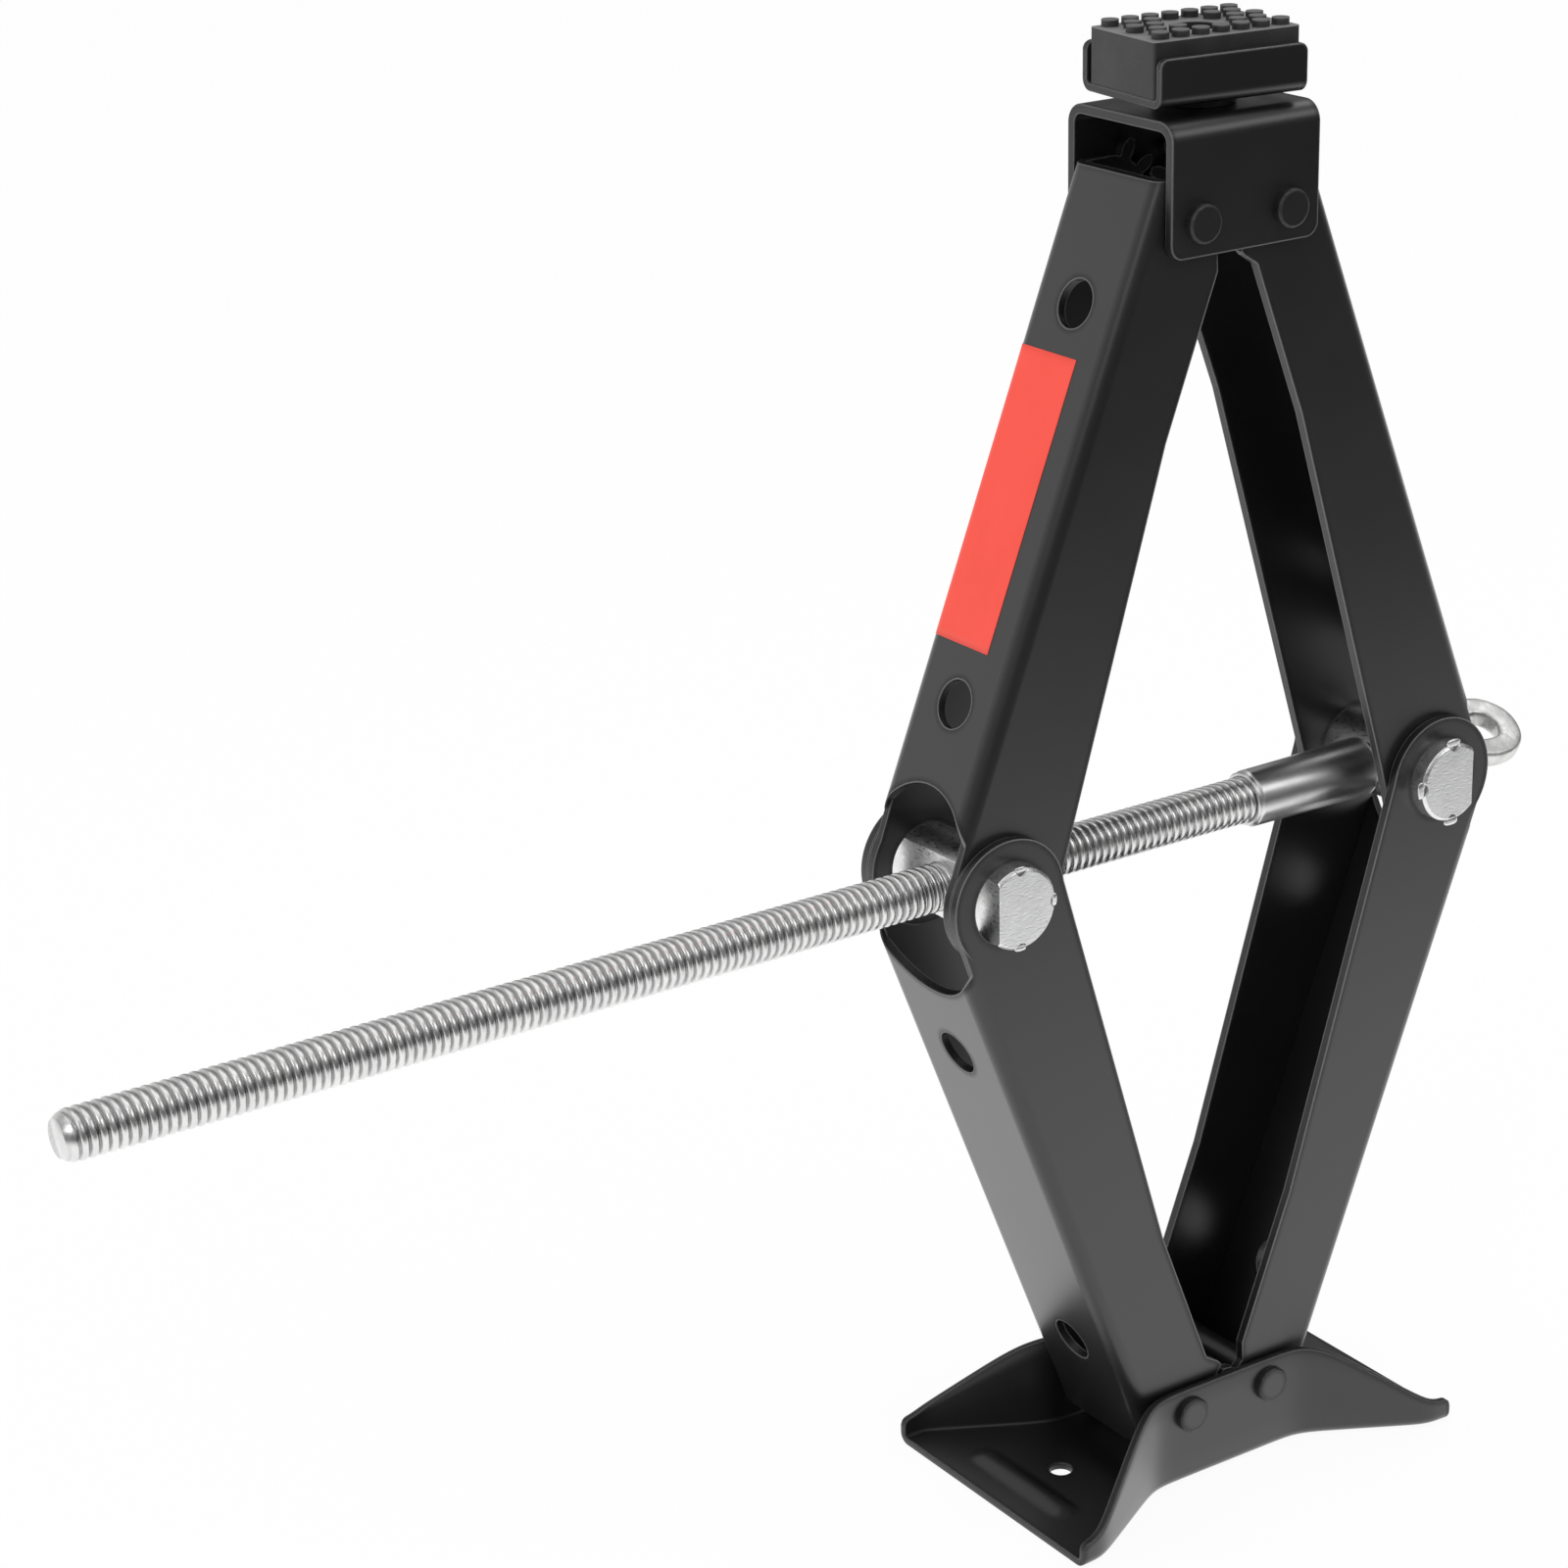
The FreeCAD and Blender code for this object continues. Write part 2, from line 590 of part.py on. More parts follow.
def make_rivet(label, x, z, half_length):
    """End pivot along Y with a formed head on each side."""
    shank = size("rivet_radius")
    head = size("rivet_head_radius")
    face = half_length + size("rivet_head_height")
    edge = size("rivet_edge")
    half = [(shank, half_length), (head, half_length), (head, face - edge), (head - edge, face), (0, face)]
    profile = half + [(radius, -height) for radius, height in reversed(half)]
    body = turned(label, profile)
    body.Placement = stand(x, 0, z, Vector(0, 1, 0))
    return body


def make_trunnion(label, side):
    """Cross bar through the ears of two arms, flat on its outer side, bored for the screw."""
    radius = size("trunnion_radius")
    half = LOWER_OUT + size("trunnion_stand_out")
    edge = size("trunnion_edge")
    body = turned(label, [(0, -half), (radius - edge, -half), (radius, edge - half),
                          (radius, half - edge), (radius - edge, half), (0, half)])
    flat = side * size("trunnion_flat")
    beyond = side * 2 * radius
    box = [(flat, -FAR, 0), (beyond, -FAR, 0), (beyond, FAR, 0), (flat, FAR, 0)]
    pocket(body, new_sketch(body, "XY_Plane", rounded(box)), symmetric=True)
    pocket(body, new_sketch(body, "YZ_Plane", [circle(0, 0, SCREW_HOLE)]), symmetric=True)
    spots = ((0, radius), (0, -radius), (-side * radius, 0))
    for face in (-1, 1):
        marks = [circle(x, y, size("stake_radius")) for x, y in spots]
        sketch = new_sketch(body, "XY_Plane", marks, face * half)
        pocket(body, sketch, "sizes.stake_depth", along_normal=face < 0)
    body.Placement = stand(side * SPREAD, 0, SCREW_HEIGHT, Vector(0, 1, 0))
    return body


def ring_profile(inner, outer, start, end):
    """Section of a plain ring for turning."""
    return [(inner, start), (outer, start), (outer, end), (inner, end)]


SEAT = SPREAD + size("trunnion_flat")
TURNING_SEAT = SEAT + size("seat_washer") + size("running_gap")
COLLAR = TURNING_SEAT + size("turning_washer")
NECK = COLLAR + size("collar_length")
EYE = NECK + size("eye_reach")


def make_screw():
    """Screw rod with a forged collar and a flattened crank eye, drawn along Z and then laid on X."""
    rod = size("screw_radius")
    start = -SPREAD - size("screw_tail")
    edge = size("screw_edge")
    hole_start = EYE - size("eye_hole_radius") - size("eye_stretch")
    neck_end = hole_start - size("eye_edge")
    profile = [
        (0, start), (rod - edge, start), (rod, start + edge), (rod, COLLAR),
        (size("collar_radius"), COLLAR), (size("collar_radius"), NECK), (rod, NECK),
        (size("neck_end_radius"), neck_end), (0, neck_end),
    ]
    body = new_body("lead_screw")
    stretch = size("eye_stretch")
    ring = slot(0, EYE, stretch, size("eye_radius")) + slot(0, EYE, stretch, size("eye_hole_radius"))
    pad(body, new_sketch(body, "YZ_Plane", ring), "sizes.eye_thickness", symmetric=True)

    def rim(edge):
        return edge.BoundBox.XLength < 0.01

    fillet(body, "sizes.eye_edge", rim)
    turn(body, profile)
    body.Placement = stand(0, 0, SCREW_HEIGHT, Vector(1, 0, 0), turn=size("eye_turn"))
    return body


def make_sleeve():
    """Crimped sleeve on the screw, a little wider towards the trunnion."""
    bore = SCREW_HOLE
    free = bore + size("sleeve_wall")
    end = SPREAD - size("trunnion_radius") - size("sleeve_gap")
    start = end - size("sleeve_length")
    wide = free + size("sleeve_flare")
    body = turned("stop_sleeve", [(bore, start), (free, start), (wide, end), (bore, end)])
    body.Placement = stand(0, 0, SCREW_HEIGHT, Vector(1, 0, 0))
    return body


def make_thrust_washer(label, start, thickness):
    """Plain washer on the screw."""
    body = turned(label, ring_profile(SCREW_HOLE, size("washer_radius"), start, start + thickness))
    body.Placement = stand(0, 0, SCREW_HEIGHT, Vector(1, 0, 0))
    return body


def make_swivel():
    """Rivet that holds the saddle on the bracket, with its washer between them."""
    shank = size("swivel_radius")
    head = size("swivel_head_radius")
    low = BRACKET_TOP - T
    high = SADDLE_FLOOR + size("saddle_sheet") + size("saddle_play")
    rise = size("swivel_head_height")
    rivet = turned("saddle_rivet", [
        (0, low - rise), (head, low - rise), (head, low), (shank, low),
        (shank, high), (head, high), (head, high + rise), (0, high + rise),
    ])
    bore = shank + size("running_gap")
    top = BRACKET_TOP + size("washer_height")
    washer = turned("saddle_washer", ring_profile(bore, size("saddle_washer_radius"), BRACKET_TOP, top))
    return [rivet, washer]


bodies = [make_base()]
for side, name in ((-1, "left"), (1, "right")):
    bodies.append(make_rivet("base_rivet_" + name, side * HALF_SPACING, BASE_PIVOT, BASE_OUT))
    bodies.append(make_rivet("top_rivet_" + name, side * HALF_SPACING, TOP_PIVOT, LOWER_OUT))
    lower = make_arm("lower_arm_" + name, LOWER_OUT, LOWER_OUT_EXPR, side < 0)
    lower.Placement = arm_placement(side, 1)
    upper = make_arm("upper_arm_" + name, UPPER_OUT, "sizes.upper_half_width", side > 0)
    upper.Placement = arm_placement(side, -1)
    bodies.extend([lower, upper])
bodies.append(make_trunnion("trunnion_nut", -1))
bodies.append(make_trunnion("trunnion_block", 1))
bodies.append(make_bracket())
bodies.extend(make_swivel())
bodies.append(make_saddle())
bodies.append(make_pad())
bodies.append(make_screw())
bodies.append(make_sleeve())
bodies.append(make_thrust_washer("seat_washer", SEAT, size("seat_washer")))
bodies.append(make_thrust_washer("turning_washer", TURNING_SEAT, size("turning_washer")))
doc.recompute()

# Every object must have computed, and every piece must be a valid solid.
for item in doc.Objects:
    if "Invalid" in item.State or "Error" in item.State:
        raise RuntimeError("failed object: " + item.Label)
for body in bodies:
    if body.Shape.isNull() or not body.Shape.isValid() or len(body.Shape.Solids) != 1:
        raise RuntimeError("bad piece: " + body.Label)

os.makedirs("parts", exist_ok=True)
for body in bodies:
    body.Shape.exportStep(f"parts/{body.Label}.step")
    print(body.Label, round(body.Shape.Volume), "cubic mm")
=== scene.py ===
# %% [markdown]
# # A scissor jack on a pale floor
#
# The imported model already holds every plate, arm, pin and bar at its real size. This lesson dresses it:
# it paints everything with procedural finishes, softens the cut edges, and adds the rolled thread, the
# crimped sleeve, the forged eye, the staked burrs, the pressed base and a red film. It also sets up the
# camera and the studio.

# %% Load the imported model
import json
import math

import bpy
import numpy as np
from mathutils import Matrix, Vector

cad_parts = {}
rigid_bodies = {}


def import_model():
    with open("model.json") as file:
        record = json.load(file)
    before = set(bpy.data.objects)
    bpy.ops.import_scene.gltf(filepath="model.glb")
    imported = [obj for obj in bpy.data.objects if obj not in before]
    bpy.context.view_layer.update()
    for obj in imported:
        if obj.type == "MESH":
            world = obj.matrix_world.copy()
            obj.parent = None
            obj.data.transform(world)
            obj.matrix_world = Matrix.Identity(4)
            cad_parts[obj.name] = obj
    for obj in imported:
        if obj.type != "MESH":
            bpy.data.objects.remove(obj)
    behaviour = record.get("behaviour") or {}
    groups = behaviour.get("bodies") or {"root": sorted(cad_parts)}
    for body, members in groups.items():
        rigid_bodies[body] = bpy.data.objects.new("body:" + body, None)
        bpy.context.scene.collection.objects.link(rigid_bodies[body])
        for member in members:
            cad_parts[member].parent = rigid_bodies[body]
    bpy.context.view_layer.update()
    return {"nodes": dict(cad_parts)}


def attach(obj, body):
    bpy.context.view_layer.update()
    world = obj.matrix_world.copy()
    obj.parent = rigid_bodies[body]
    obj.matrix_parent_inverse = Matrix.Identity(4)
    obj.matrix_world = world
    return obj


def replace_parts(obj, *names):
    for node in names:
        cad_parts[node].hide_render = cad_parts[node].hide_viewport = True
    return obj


for leftover in list(bpy.data.objects):
    bpy.data.objects.remove(leftover)
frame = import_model()
nodes = frame["nodes"]
scene = bpy.context.scene
scene.view_settings.view_transform = "Standard"

# %% [markdown]
# ## The camera
#
# The photograph was taken from the free end of the screw, from a little above, with a long lens.
# A camera can be aimed with a constraint, but an exact matrix also takes the small roll. Its
# columns are the camera's right, up and backward directions.

# %% Camera at the photograph's viewing angle
AZIMUTH, ELEVATION, ROLL = math.radians(-33.622), math.radians(20.733), math.radians(-1.455)
CAMERA_DISTANCE = 0.89531
CAMERA_TARGET = Vector((-0.12092, 0.00013, 0.21391))
LENS_MM, SENSOR_MM = 88.267, 36.0
CLIP_NEAR, CLIP_FAR = 0.01, 100.0


def camera_matrix(azimuth, elevation, roll, target, distance):
    """Right is forward crossed with Z, up is right crossed with forward, and both turn by the roll."""
    back = Vector((math.sin(azimuth) * math.cos(elevation), -math.cos(azimuth) * math.cos(elevation),
                   math.sin(elevation)))
    right = (-back).cross(Vector((0, 0, 1))).normalized()
    up = right.cross(-back)
    turned_right = right * math.cos(roll) + up * math.sin(roll)
    turned_up = up * math.cos(roll) - right * math.sin(roll)
    matrix = Matrix((turned_right, turned_up, back)).transposed().to_4x4()
    matrix.translation = target + back * distance
    return matrix


lens = bpy.data.cameras.new("photo_camera")
lens.lens, lens.sensor_width = LENS_MM, SENSOR_MM
lens.clip_start, lens.clip_end = CLIP_NEAR, CLIP_FAR
camera = bpy.data.objects.new("photo_camera", lens)
scene.collection.objects.link(camera)
camera.matrix_world = camera_matrix(AZIMUTH, ELEVATION, ROLL, CAMERA_TARGET, CAMERA_DISTANCE)
scene.camera = camera
print("camera at", tuple(round(v, 4) for v in camera.location))

# %% [markdown]
# ## Small helpers for materials
#
# Every finish is a Principled shader with a few noise patterns on Object coordinates, so the
# patterns stay on the metal when a body moves. These helpers keep each finish short.

# %% Node helpers
# A Mix node has one set of sockets for each kind of data; these are the numbers of those for colours.
MIX_VALUE, MIX_FIRST, MIX_SECOND, MIX_RESULT = 0, 6, 7, 2


def grey(level):
    """A grey as a colour."""
    return (level, level, level)


def new_material(name):
    """A material with an empty node tree, its Principled shader and its Object coordinates."""
    material = bpy.data.materials.new(name)
    material.use_nodes = True
    tree = material.node_tree
    tree.nodes.clear()
    output = tree.nodes.new("ShaderNodeOutputMaterial")
    shader = tree.nodes.new("ShaderNodeBsdfPrincipled")
    place = tree.nodes.new("ShaderNodeTexCoord")
    tree.links.new(shader.outputs["BSDF"], output.inputs["Surface"])
    return material, tree, shader, place.outputs["Object"]


def noise(tree, place, scale, detail=3.0, stretch=(1.0, 1.0, 1.0)):
    """A noise value with its pattern stretched along the axes; scale is in waves per metre."""
    mapping = tree.nodes.new("ShaderNodeMapping")
    mapping.inputs["Scale"].default_value = stretch
    tree.links.new(place, mapping.inputs["Vector"])
    pattern = tree.nodes.new("ShaderNodeTexNoise")
    pattern.inputs["Scale"].default_value = scale
    pattern.inputs["Detail"].default_value = detail
    tree.links.new(mapping.outputs["Vector"], pattern.inputs["Vector"])
    return pattern.outputs["Fac"]


def spread(tree, value, low, high, start=0.3, end=0.7):
    """The value carried from the band start to end onto low to high."""
    span = tree.nodes.new("ShaderNodeMapRange")
    for socket, number in (("From Min", start), ("From Max", end), ("To Min", low), ("To Max", high)):
        span.inputs[socket].default_value = number
    tree.links.new(value, span.inputs["Value"])
    return span.outputs["Result"]


def two_colours(tree, value, dark, light, start=0.3, end=0.7):
    """A colour between dark and light, led by the value."""
    ramp = tree.nodes.new("ShaderNodeValToRGB")
    ramp.color_ramp.elements[0].position = start
    ramp.color_ramp.elements[1].position = end
    ramp.color_ramp.elements[0].color = (*dark, 1.0)
    ramp.color_ramp.elements[1].color = (*light, 1.0)
    tree.links.new(value, ramp.inputs["Fac"])
    return ramp.outputs["Color"]


def combine(tree, operation, first, second):
    """Two values joined by one step of arithmetic; the second may be a plain number."""
    step = tree.nodes.new("ShaderNodeMath")
    step.operation = operation
    tree.links.new(first, step.inputs[0])
    if isinstance(second, float):
        step.inputs[1].default_value = second
    else:
        tree.links.new(second, step.inputs[1])
    return step.outputs["Value"]


def blend(tree, value, first, second):
    """The first colour where the value is zero, and the second, a plain colour, where it is one."""
    mix = tree.nodes.new("ShaderNodeMix")
    mix.data_type = "RGBA"
    mix.inputs[MIX_SECOND].default_value = (*second, 1.0)
    tree.links.new(value, mix.inputs[MIX_VALUE])
    tree.links.new(first, mix.inputs[MIX_FIRST])
    return mix.outputs[MIX_RESULT]


def bump(tree, shader, value, height, strength):
    """Relief of the given height in metres on the shader's normal."""
    relief = tree.nodes.new("ShaderNodeBump")
    relief.inputs["Distance"].default_value = height
    relief.inputs["Strength"].default_value = strength
    tree.links.new(value, relief.inputs["Height"])
    tree.links.new(relief.outputs["Normal"], shader.inputs["Normal"])


print("node helpers are ready; a grey of one half is", grey(0.5))

# %% [markdown]
# ## Masks for edges and close places
#
# A painted highlight sits along outward edges, and one finish turns darker where surfaces are close
# together. Both could be painted by hand, but an ambient occlusion node finds them by itself: looking into
# the piece it is blocked near an edge and on a narrow face, and looking outwards it is blocked where
# something else is near.

# %% Masks
MASK_SAMPLES = 2
EDGE_BAND = (0.55, 0.88)
HIGHLIGHT_CLEAR_REACH, HIGHLIGHT_CLEAR_BAND = 0.03, (0.42, 0.68)


def openness(tree, reach, inside):
    """How little within reach is blocked: outside the surface, or inside the piece itself."""
    room = tree.nodes.new("ShaderNodeAmbientOcclusion")
    room.inside, room.only_local, room.samples = inside, inside, MASK_SAMPLES
    room.inputs["Distance"].default_value = reach
    return room.outputs["AO"]


def edge_highlight_mask(tree, reach):
    """One along outward edges and zero elsewhere, for a painted highlight: the piece's own inside is cut off
    within reach, and the outside is open, so the highlight stays off where something else is near."""
    edge = spread(tree, openness(tree, reach, inside=True), 1.0, 0.0, *EDGE_BAND)
    free = spread(tree, openness(tree, HIGHLIGHT_CLEAR_REACH, inside=False), 0.0, 1.0, *HIGHLIGHT_CLEAR_BAND)
    return combine(tree, "MULTIPLY", edge, free)


# The band printed as rubbed places is where the painted edge highlight is kept off near other surfaces.
print("masks: edges", EDGE_BAND, "rubbed places", HIGHLIGHT_CLEAR_BAND)

# %% [markdown]
# ## Satin black powder coat
#
# The pressed plates carry a baked powder coat: nearly black, with a clear top layer that brightens at
# a slant, and a very fine orange-peel skin. Colour and roughness drift a little, because the coat is
# never even. A mask along the cut edges turns the colour paler, a painted highlight for the light the
# edges catch, and the sheared face between two edges is dull, so a wider mask takes the clear layer off
# there.

# %% Black coat
COAT_DARK, COAT_LIGHT, COAT_EDGE_HIGHLIGHT = grey(0.005), grey(0.009), grey(0.20)
COAT_ROUGH, COAT_SPECULAR, CLEAR_ROUGH = (0.31, 0.38), 0.38, 0.34
EDGE_REACH = 0.0005
SHEARED_REACH, SHEARED_BAND, SHEARED_ROUGH = 0.0019, (0.74, 0.88), 0.55


def make_black_coat():
    """A drift between two dark greys, painted highlights on the edges, medium roughness and a fine skin,
    under a clear layer that is missing on the sheared faces."""
    material, tree, shader, place = new_material("black_coat")
    drift = noise(tree, place, scale=18.0)
    skin = noise(tree, place, scale=1500.0, detail=1.5)
    coat = two_colours(tree, drift, COAT_DARK, COAT_LIGHT)
    # Painted highlight: the colour turns pale grey along the open edges.
    colour = blend(tree, edge_highlight_mask(tree, EDGE_REACH), coat, COAT_EDGE_HIGHLIGHT)
    tree.links.new(colour, shader.inputs["Base Color"])
    sheared = openness(tree, SHEARED_REACH, inside=True)
    dull = spread(tree, sheared, SHEARED_ROUGH, 0.0, *SHEARED_BAND)
    rough = combine(tree, "MAXIMUM", spread(tree, drift, *COAT_ROUGH), dull)
    tree.links.new(rough, shader.inputs["Roughness"])
    tree.links.new(spread(tree, sheared, 0.0, 1.0, *SHEARED_BAND), shader.inputs["Coat Weight"])
    shader.inputs["Specular IOR Level"].default_value = COAT_SPECULAR
    shader.inputs["Coat Roughness"].default_value = CLEAR_ROUGH
    bump(tree, shader, skin, height=0.00002, strength=0.3)
    return material


black_coat = make_black_coat()
print("finish:", black_coat.name)

# %% [markdown]
# ## Zinc-plated steel
#
# The screw, the cross bars and the washers are bright zinc over turned or forged steel. Zinc is a metal
# shader, a little rough, with fine marks and a cool grey drift. Painted shade in the thread's grooves,
# and a darker colour round the forged eye where other surfaces are close, are laid over it by masks.
# They could be pieces of their own, but neither has a thickness that would show.

# %% Zinc finishes
HOLLOW_REACH, HOLLOW_BAND, HOLLOW_PATCHES = 0.009, (0.60, 0.95), (0.2, 1.0)


def make_zinc(name, dark, light, rough, mark_scale, mark_height, stretch=(1.0, 1.0, 1.0),
              groove=None, hollow_dark=None):
    """Metal whose colour, roughness and relief follow two noises; a groove colour, if given, is painted
    shade that takes over where the mesh's own groove value is one, and a second dark colour, if given, in
    patches where the surroundings are close."""
    material, tree, shader, place = new_material(name)
    shader.inputs["Metallic"].default_value = 1.0
    drift = noise(tree, place, scale=160.0, detail=4.0)
    marks = noise(tree, place, mark_scale, detail=4.0, stretch=stretch)
    colour = two_colours(tree, drift, dark, light)
    # Painted shade: the groove colour darkens the metal by the mesh's groove depth.
    if groove:
        depth = tree.nodes.new("ShaderNodeAttribute")
        depth.attribute_name = "groove"
        colour = blend(tree, depth.outputs["Fac"], colour, groove)
    # Darker in patches where other surfaces are close, as in the eye's hole and at its neck.
    if hollow_dark:
        recess = spread(tree, openness(tree, HOLLOW_REACH, inside=False), 1.0, 0.0, *HOLLOW_BAND)
        patches = spread(tree, marks, *HOLLOW_PATCHES)
        colour = blend(tree, combine(tree, "MULTIPLY", recess, patches), colour, hollow_dark)
    tree.links.new(colour, shader.inputs["Base Color"])
    tree.links.new(spread(tree, marks, *rough), shader.inputs["Roughness"])
    bump(tree, shader, marks, mark_height, strength=0.6)
    return material


# The thread's groove colour is painted shade.
zinc_thread = make_zinc("zinc_thread", dark=grey(0.76), light=(0.93, 0.93, 0.92), rough=(0.24, 0.38),
                        mark_scale=900.0, mark_height=0.00003, groove=grey(0.34))
zinc_bar = make_zinc("zinc_bar", dark=(0.84, 0.85, 0.84), light=(0.95, 0.96, 0.95), rough=(0.25, 0.42),
                     mark_scale=700.0, mark_height=0.00010, stretch=(1.0, 1.0, 3.0))
# The forged eye turns darker in patches where other surfaces are close.
zinc_forged = make_zinc("zinc_forged", dark=(0.66, 0.66, 0.65), light=(0.94, 0.94, 0.93), rough=(0.32, 0.52),
                        mark_scale=420.0, mark_height=0.00034, hollow_dark=grey(0.05))
bright_zinc = make_zinc("bright_zinc", dark=grey(0.74), light=grey(0.88), rough=(0.28, 0.42),
                        mark_scale=300.0, mark_height=0.00004, stretch=(0.2, 1.0, 1.0))
print("finishes:", zinc_thread.name, zinc_bar.name, zinc_forged.name, bright_zinc.name)

# %% [markdown]
# ## Rubber
#
# The pad is moulded black rubber: matt, with a faint grain. A painted highlight lies on its face between
# the studs and another on the stud tops. They keep to two heights, so a band and a ramp on the height
# give them rather than a painted map, while the sides of the studs stay dark.

# %% Rubber
PAD_TOP, TOP_HIGHLIGHT_BAND, TOP_HIGHLIGHT_LEVEL = 0.3759, 0.00022, 0.75
STUD_HIGHLIGHT_RAMP, STUD_HIGHLIGHT_LEVEL = (0.37735, 0.3777), 0.40
RUBBER_DARK, RUBBER_PALE_AND_HIGHLIGHT = grey(0.010), grey(0.26)
RUBBER_ROUGH, RUBBER_SPECULAR = (0.48, 0.60), 0.7


def make_rubber():
    """Rough dark surface with a fine grain; a painted highlight is strongest at the pad's top face and falls
    to zero over the band, and another painted highlight rises towards the stud tops."""
    material, tree, shader, place = new_material("rubber")
    drift = noise(tree, place, scale=60.0)
    grain = noise(tree, place, scale=2600.0, detail=2.0)
    split = tree.nodes.new("ShaderNodeSeparateXYZ")
    tree.links.new(place, split.inputs["Vector"])
    height = split.outputs["Z"]
    off_top = combine(tree, "ABSOLUTE", combine(tree, "SUBTRACT", height, PAD_TOP), 0.0)
    # Painted highlight on the pad's top face between the studs.
    top_face_highlight = spread(tree, off_top, TOP_HIGHLIGHT_LEVEL, 0.0, TOP_HIGHLIGHT_BAND / 2, TOP_HIGHLIGHT_BAND)
    # Painted highlight rising towards the stud tops.
    stud_highlight = spread(tree, height, 0.0, STUD_HIGHLIGHT_LEVEL, *STUD_HIGHLIGHT_RAMP)
    # The drift's own tone plus the painted highlights on the top face and the stud tops.
    worn = combine(tree, "ADD", spread(tree, drift, 0.0, 0.08), combine(tree, "MAXIMUM", top_face_highlight, stud_highlight))
    colour = two_colours(tree, worn, RUBBER_DARK, RUBBER_PALE_AND_HIGHLIGHT, 0.0, 1.0)
    tree.links.new(colour, shader.inputs["Base Color"])
    tree.links.new(spread(tree, grain, *RUBBER_ROUGH), shader.inputs["Roughness"])
    shader.inputs["Specular IOR Level"].default_value = RUBBER_SPECULAR
    bump(tree, shader, grain, height=0.00004, strength=0.5)
    return material


rubber = make_rubber()
print("finish:", rubber.name)

# %% [markdown]
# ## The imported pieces
#
# Sheared plate has a small broken edge that catches the light as a thin bright line. Each node's
# loose triangles are welded and its flat areas joined into single faces, so that a narrow bevel runs
# evenly along the edges. The last step points the normals of the large faces straight out again.

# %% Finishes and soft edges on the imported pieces
BLACK_NODES = ("base_rivet_left", "base_rivet_right", "lower_arm_left", "lower_arm_right",
               "upper_arm_left", "upper_arm_right", "top_bracket", "top_rivet_left", "top_rivet_right",
               "saddle", "saddle_washer", "saddle_rivet")
ZINC_NODES = ("trunnion_nut", "trunnion_block", "seat_washer", "turning_washer")
PLATE_EDGE, ZINC_EDGE, PAD_EDGE = 0.0003, 0.0002, 0.0003
WELD_REACH, FLAT_ANGLE, SHARP_ANGLE = 1e-6, math.radians(0.2), math.radians(38)
EDGE_SEGMENTS = 2


def dress(node, edge, material):
    """One finish on the node, and a bevel of the given width on its sharp edges."""
    mesh = node.data
    mesh.materials.clear()
    mesh.materials.append(material)
    weld = node.modifiers.new("joined_corners", "WELD")
    weld.merge_threshold = WELD_REACH
    flat = node.modifiers.new("joined_flats", "DECIMATE")
    flat.decimate_type = "DISSOLVE"
    flat.angle_limit = FLAT_ANGLE
    soft = node.modifiers.new("broken_edges", "BEVEL")
    soft.width, soft.segments = edge, EDGE_SEGMENTS
    soft.limit_method, soft.angle_limit = "ANGLE", SHARP_ANGLE
    soft.loop_slide = False
    shade = node.modifiers.new("straight_normals", "WEIGHTED_NORMAL")
    shade.keep_sharp = True


for name in BLACK_NODES:
    dress(nodes[name], PLATE_EDGE, black_coat)
for name in ZINC_NODES:
    dress(nodes[name], ZINC_EDGE, zinc_bar)
dress(nodes["rubber_pad"], PAD_EDGE, rubber)
print("dressed", len(BLACK_NODES) + len(ZINC_NODES) + 1, "packed pieces")

# %% [markdown]
# ## Surfaces from grids
#
# New pieces are grids of points worked out as whole arrays. A patch is an array of corner numbers with
# one face in each row. Small helpers make the patches of a grid, and one makes the mesh and lets it ride
# on its body.

# %% Grid helpers
def full_turn(steps):
    """Angles of a full turn in equal steps, without the last, which is the first again."""
    return np.linspace(0.0, 2 * math.pi, steps, endpoint=False)


def ease(share):
    """Zero to one with a soft start and end: three times the square, less twice the cube."""
    return share * share * (3.0 - 2.0 * share)


def grid_quads(rows, columns, ring=True, loop=False):
    """A patch of the quads between neighbouring rows and columns; a ring joins its last column to its
    first, and a loop its last row to its first."""
    i, j = np.meshgrid(np.arange(rows if loop else rows - 1), np.arange(columns if ring else columns - 1),
                       indexing="ij")
    ahead, beside = (i + 1) % rows, (j + 1) % columns
    corners = [i * columns + j, i * columns + beside, ahead * columns + beside, ahead * columns + j]
    return np.stack(corners, -1).reshape(-1, 4)


def end_faces(rows, columns):
    """A patch of two many-sided faces, one over the first row and one over the last."""
    ring = np.arange(columns)
    return np.stack([ring[::-1], (rows - 1) * columns + ring])


def as_faces(*patches):
    """The faces of all the patches as one list."""
    return [face for patch in patches for face in patch.tolist()]


def new_piece(name, points, faces, material, body):
    """A smooth mesh piece of the points and faces, with one finish, riding on one body."""
    mesh = bpy.data.meshes.new(name)
    mesh.from_pydata(points.reshape(-1, 3).tolist(), [], faces)
    mesh.validate()
    mesh.polygons.foreach_set("use_smooth", np.ones(len(mesh.polygons), bool))
    mesh.materials.append(material)
    piece = bpy.data.objects.new(name, mesh)
    scene.collection.objects.link(piece)
    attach(piece, body)
    return piece


print("grid helpers are ready; a tube of 3 rings of 8 points has", len(grid_quads(3, 8)), "quads")

# %% [markdown]
# ## The screw's thread
#
# The thread is rolled, so its lands are broad and rounded and its grooves narrow. Each row of the grid
# is a ring at one place along X, and the radius depends on the phase: place over pitch, less the share
# of a turn. A helical sweep would also do, but rings close at both ends without a seam. The grooves get
# painted shade, so each point also carries its depth in the groove for the finish to darken by.

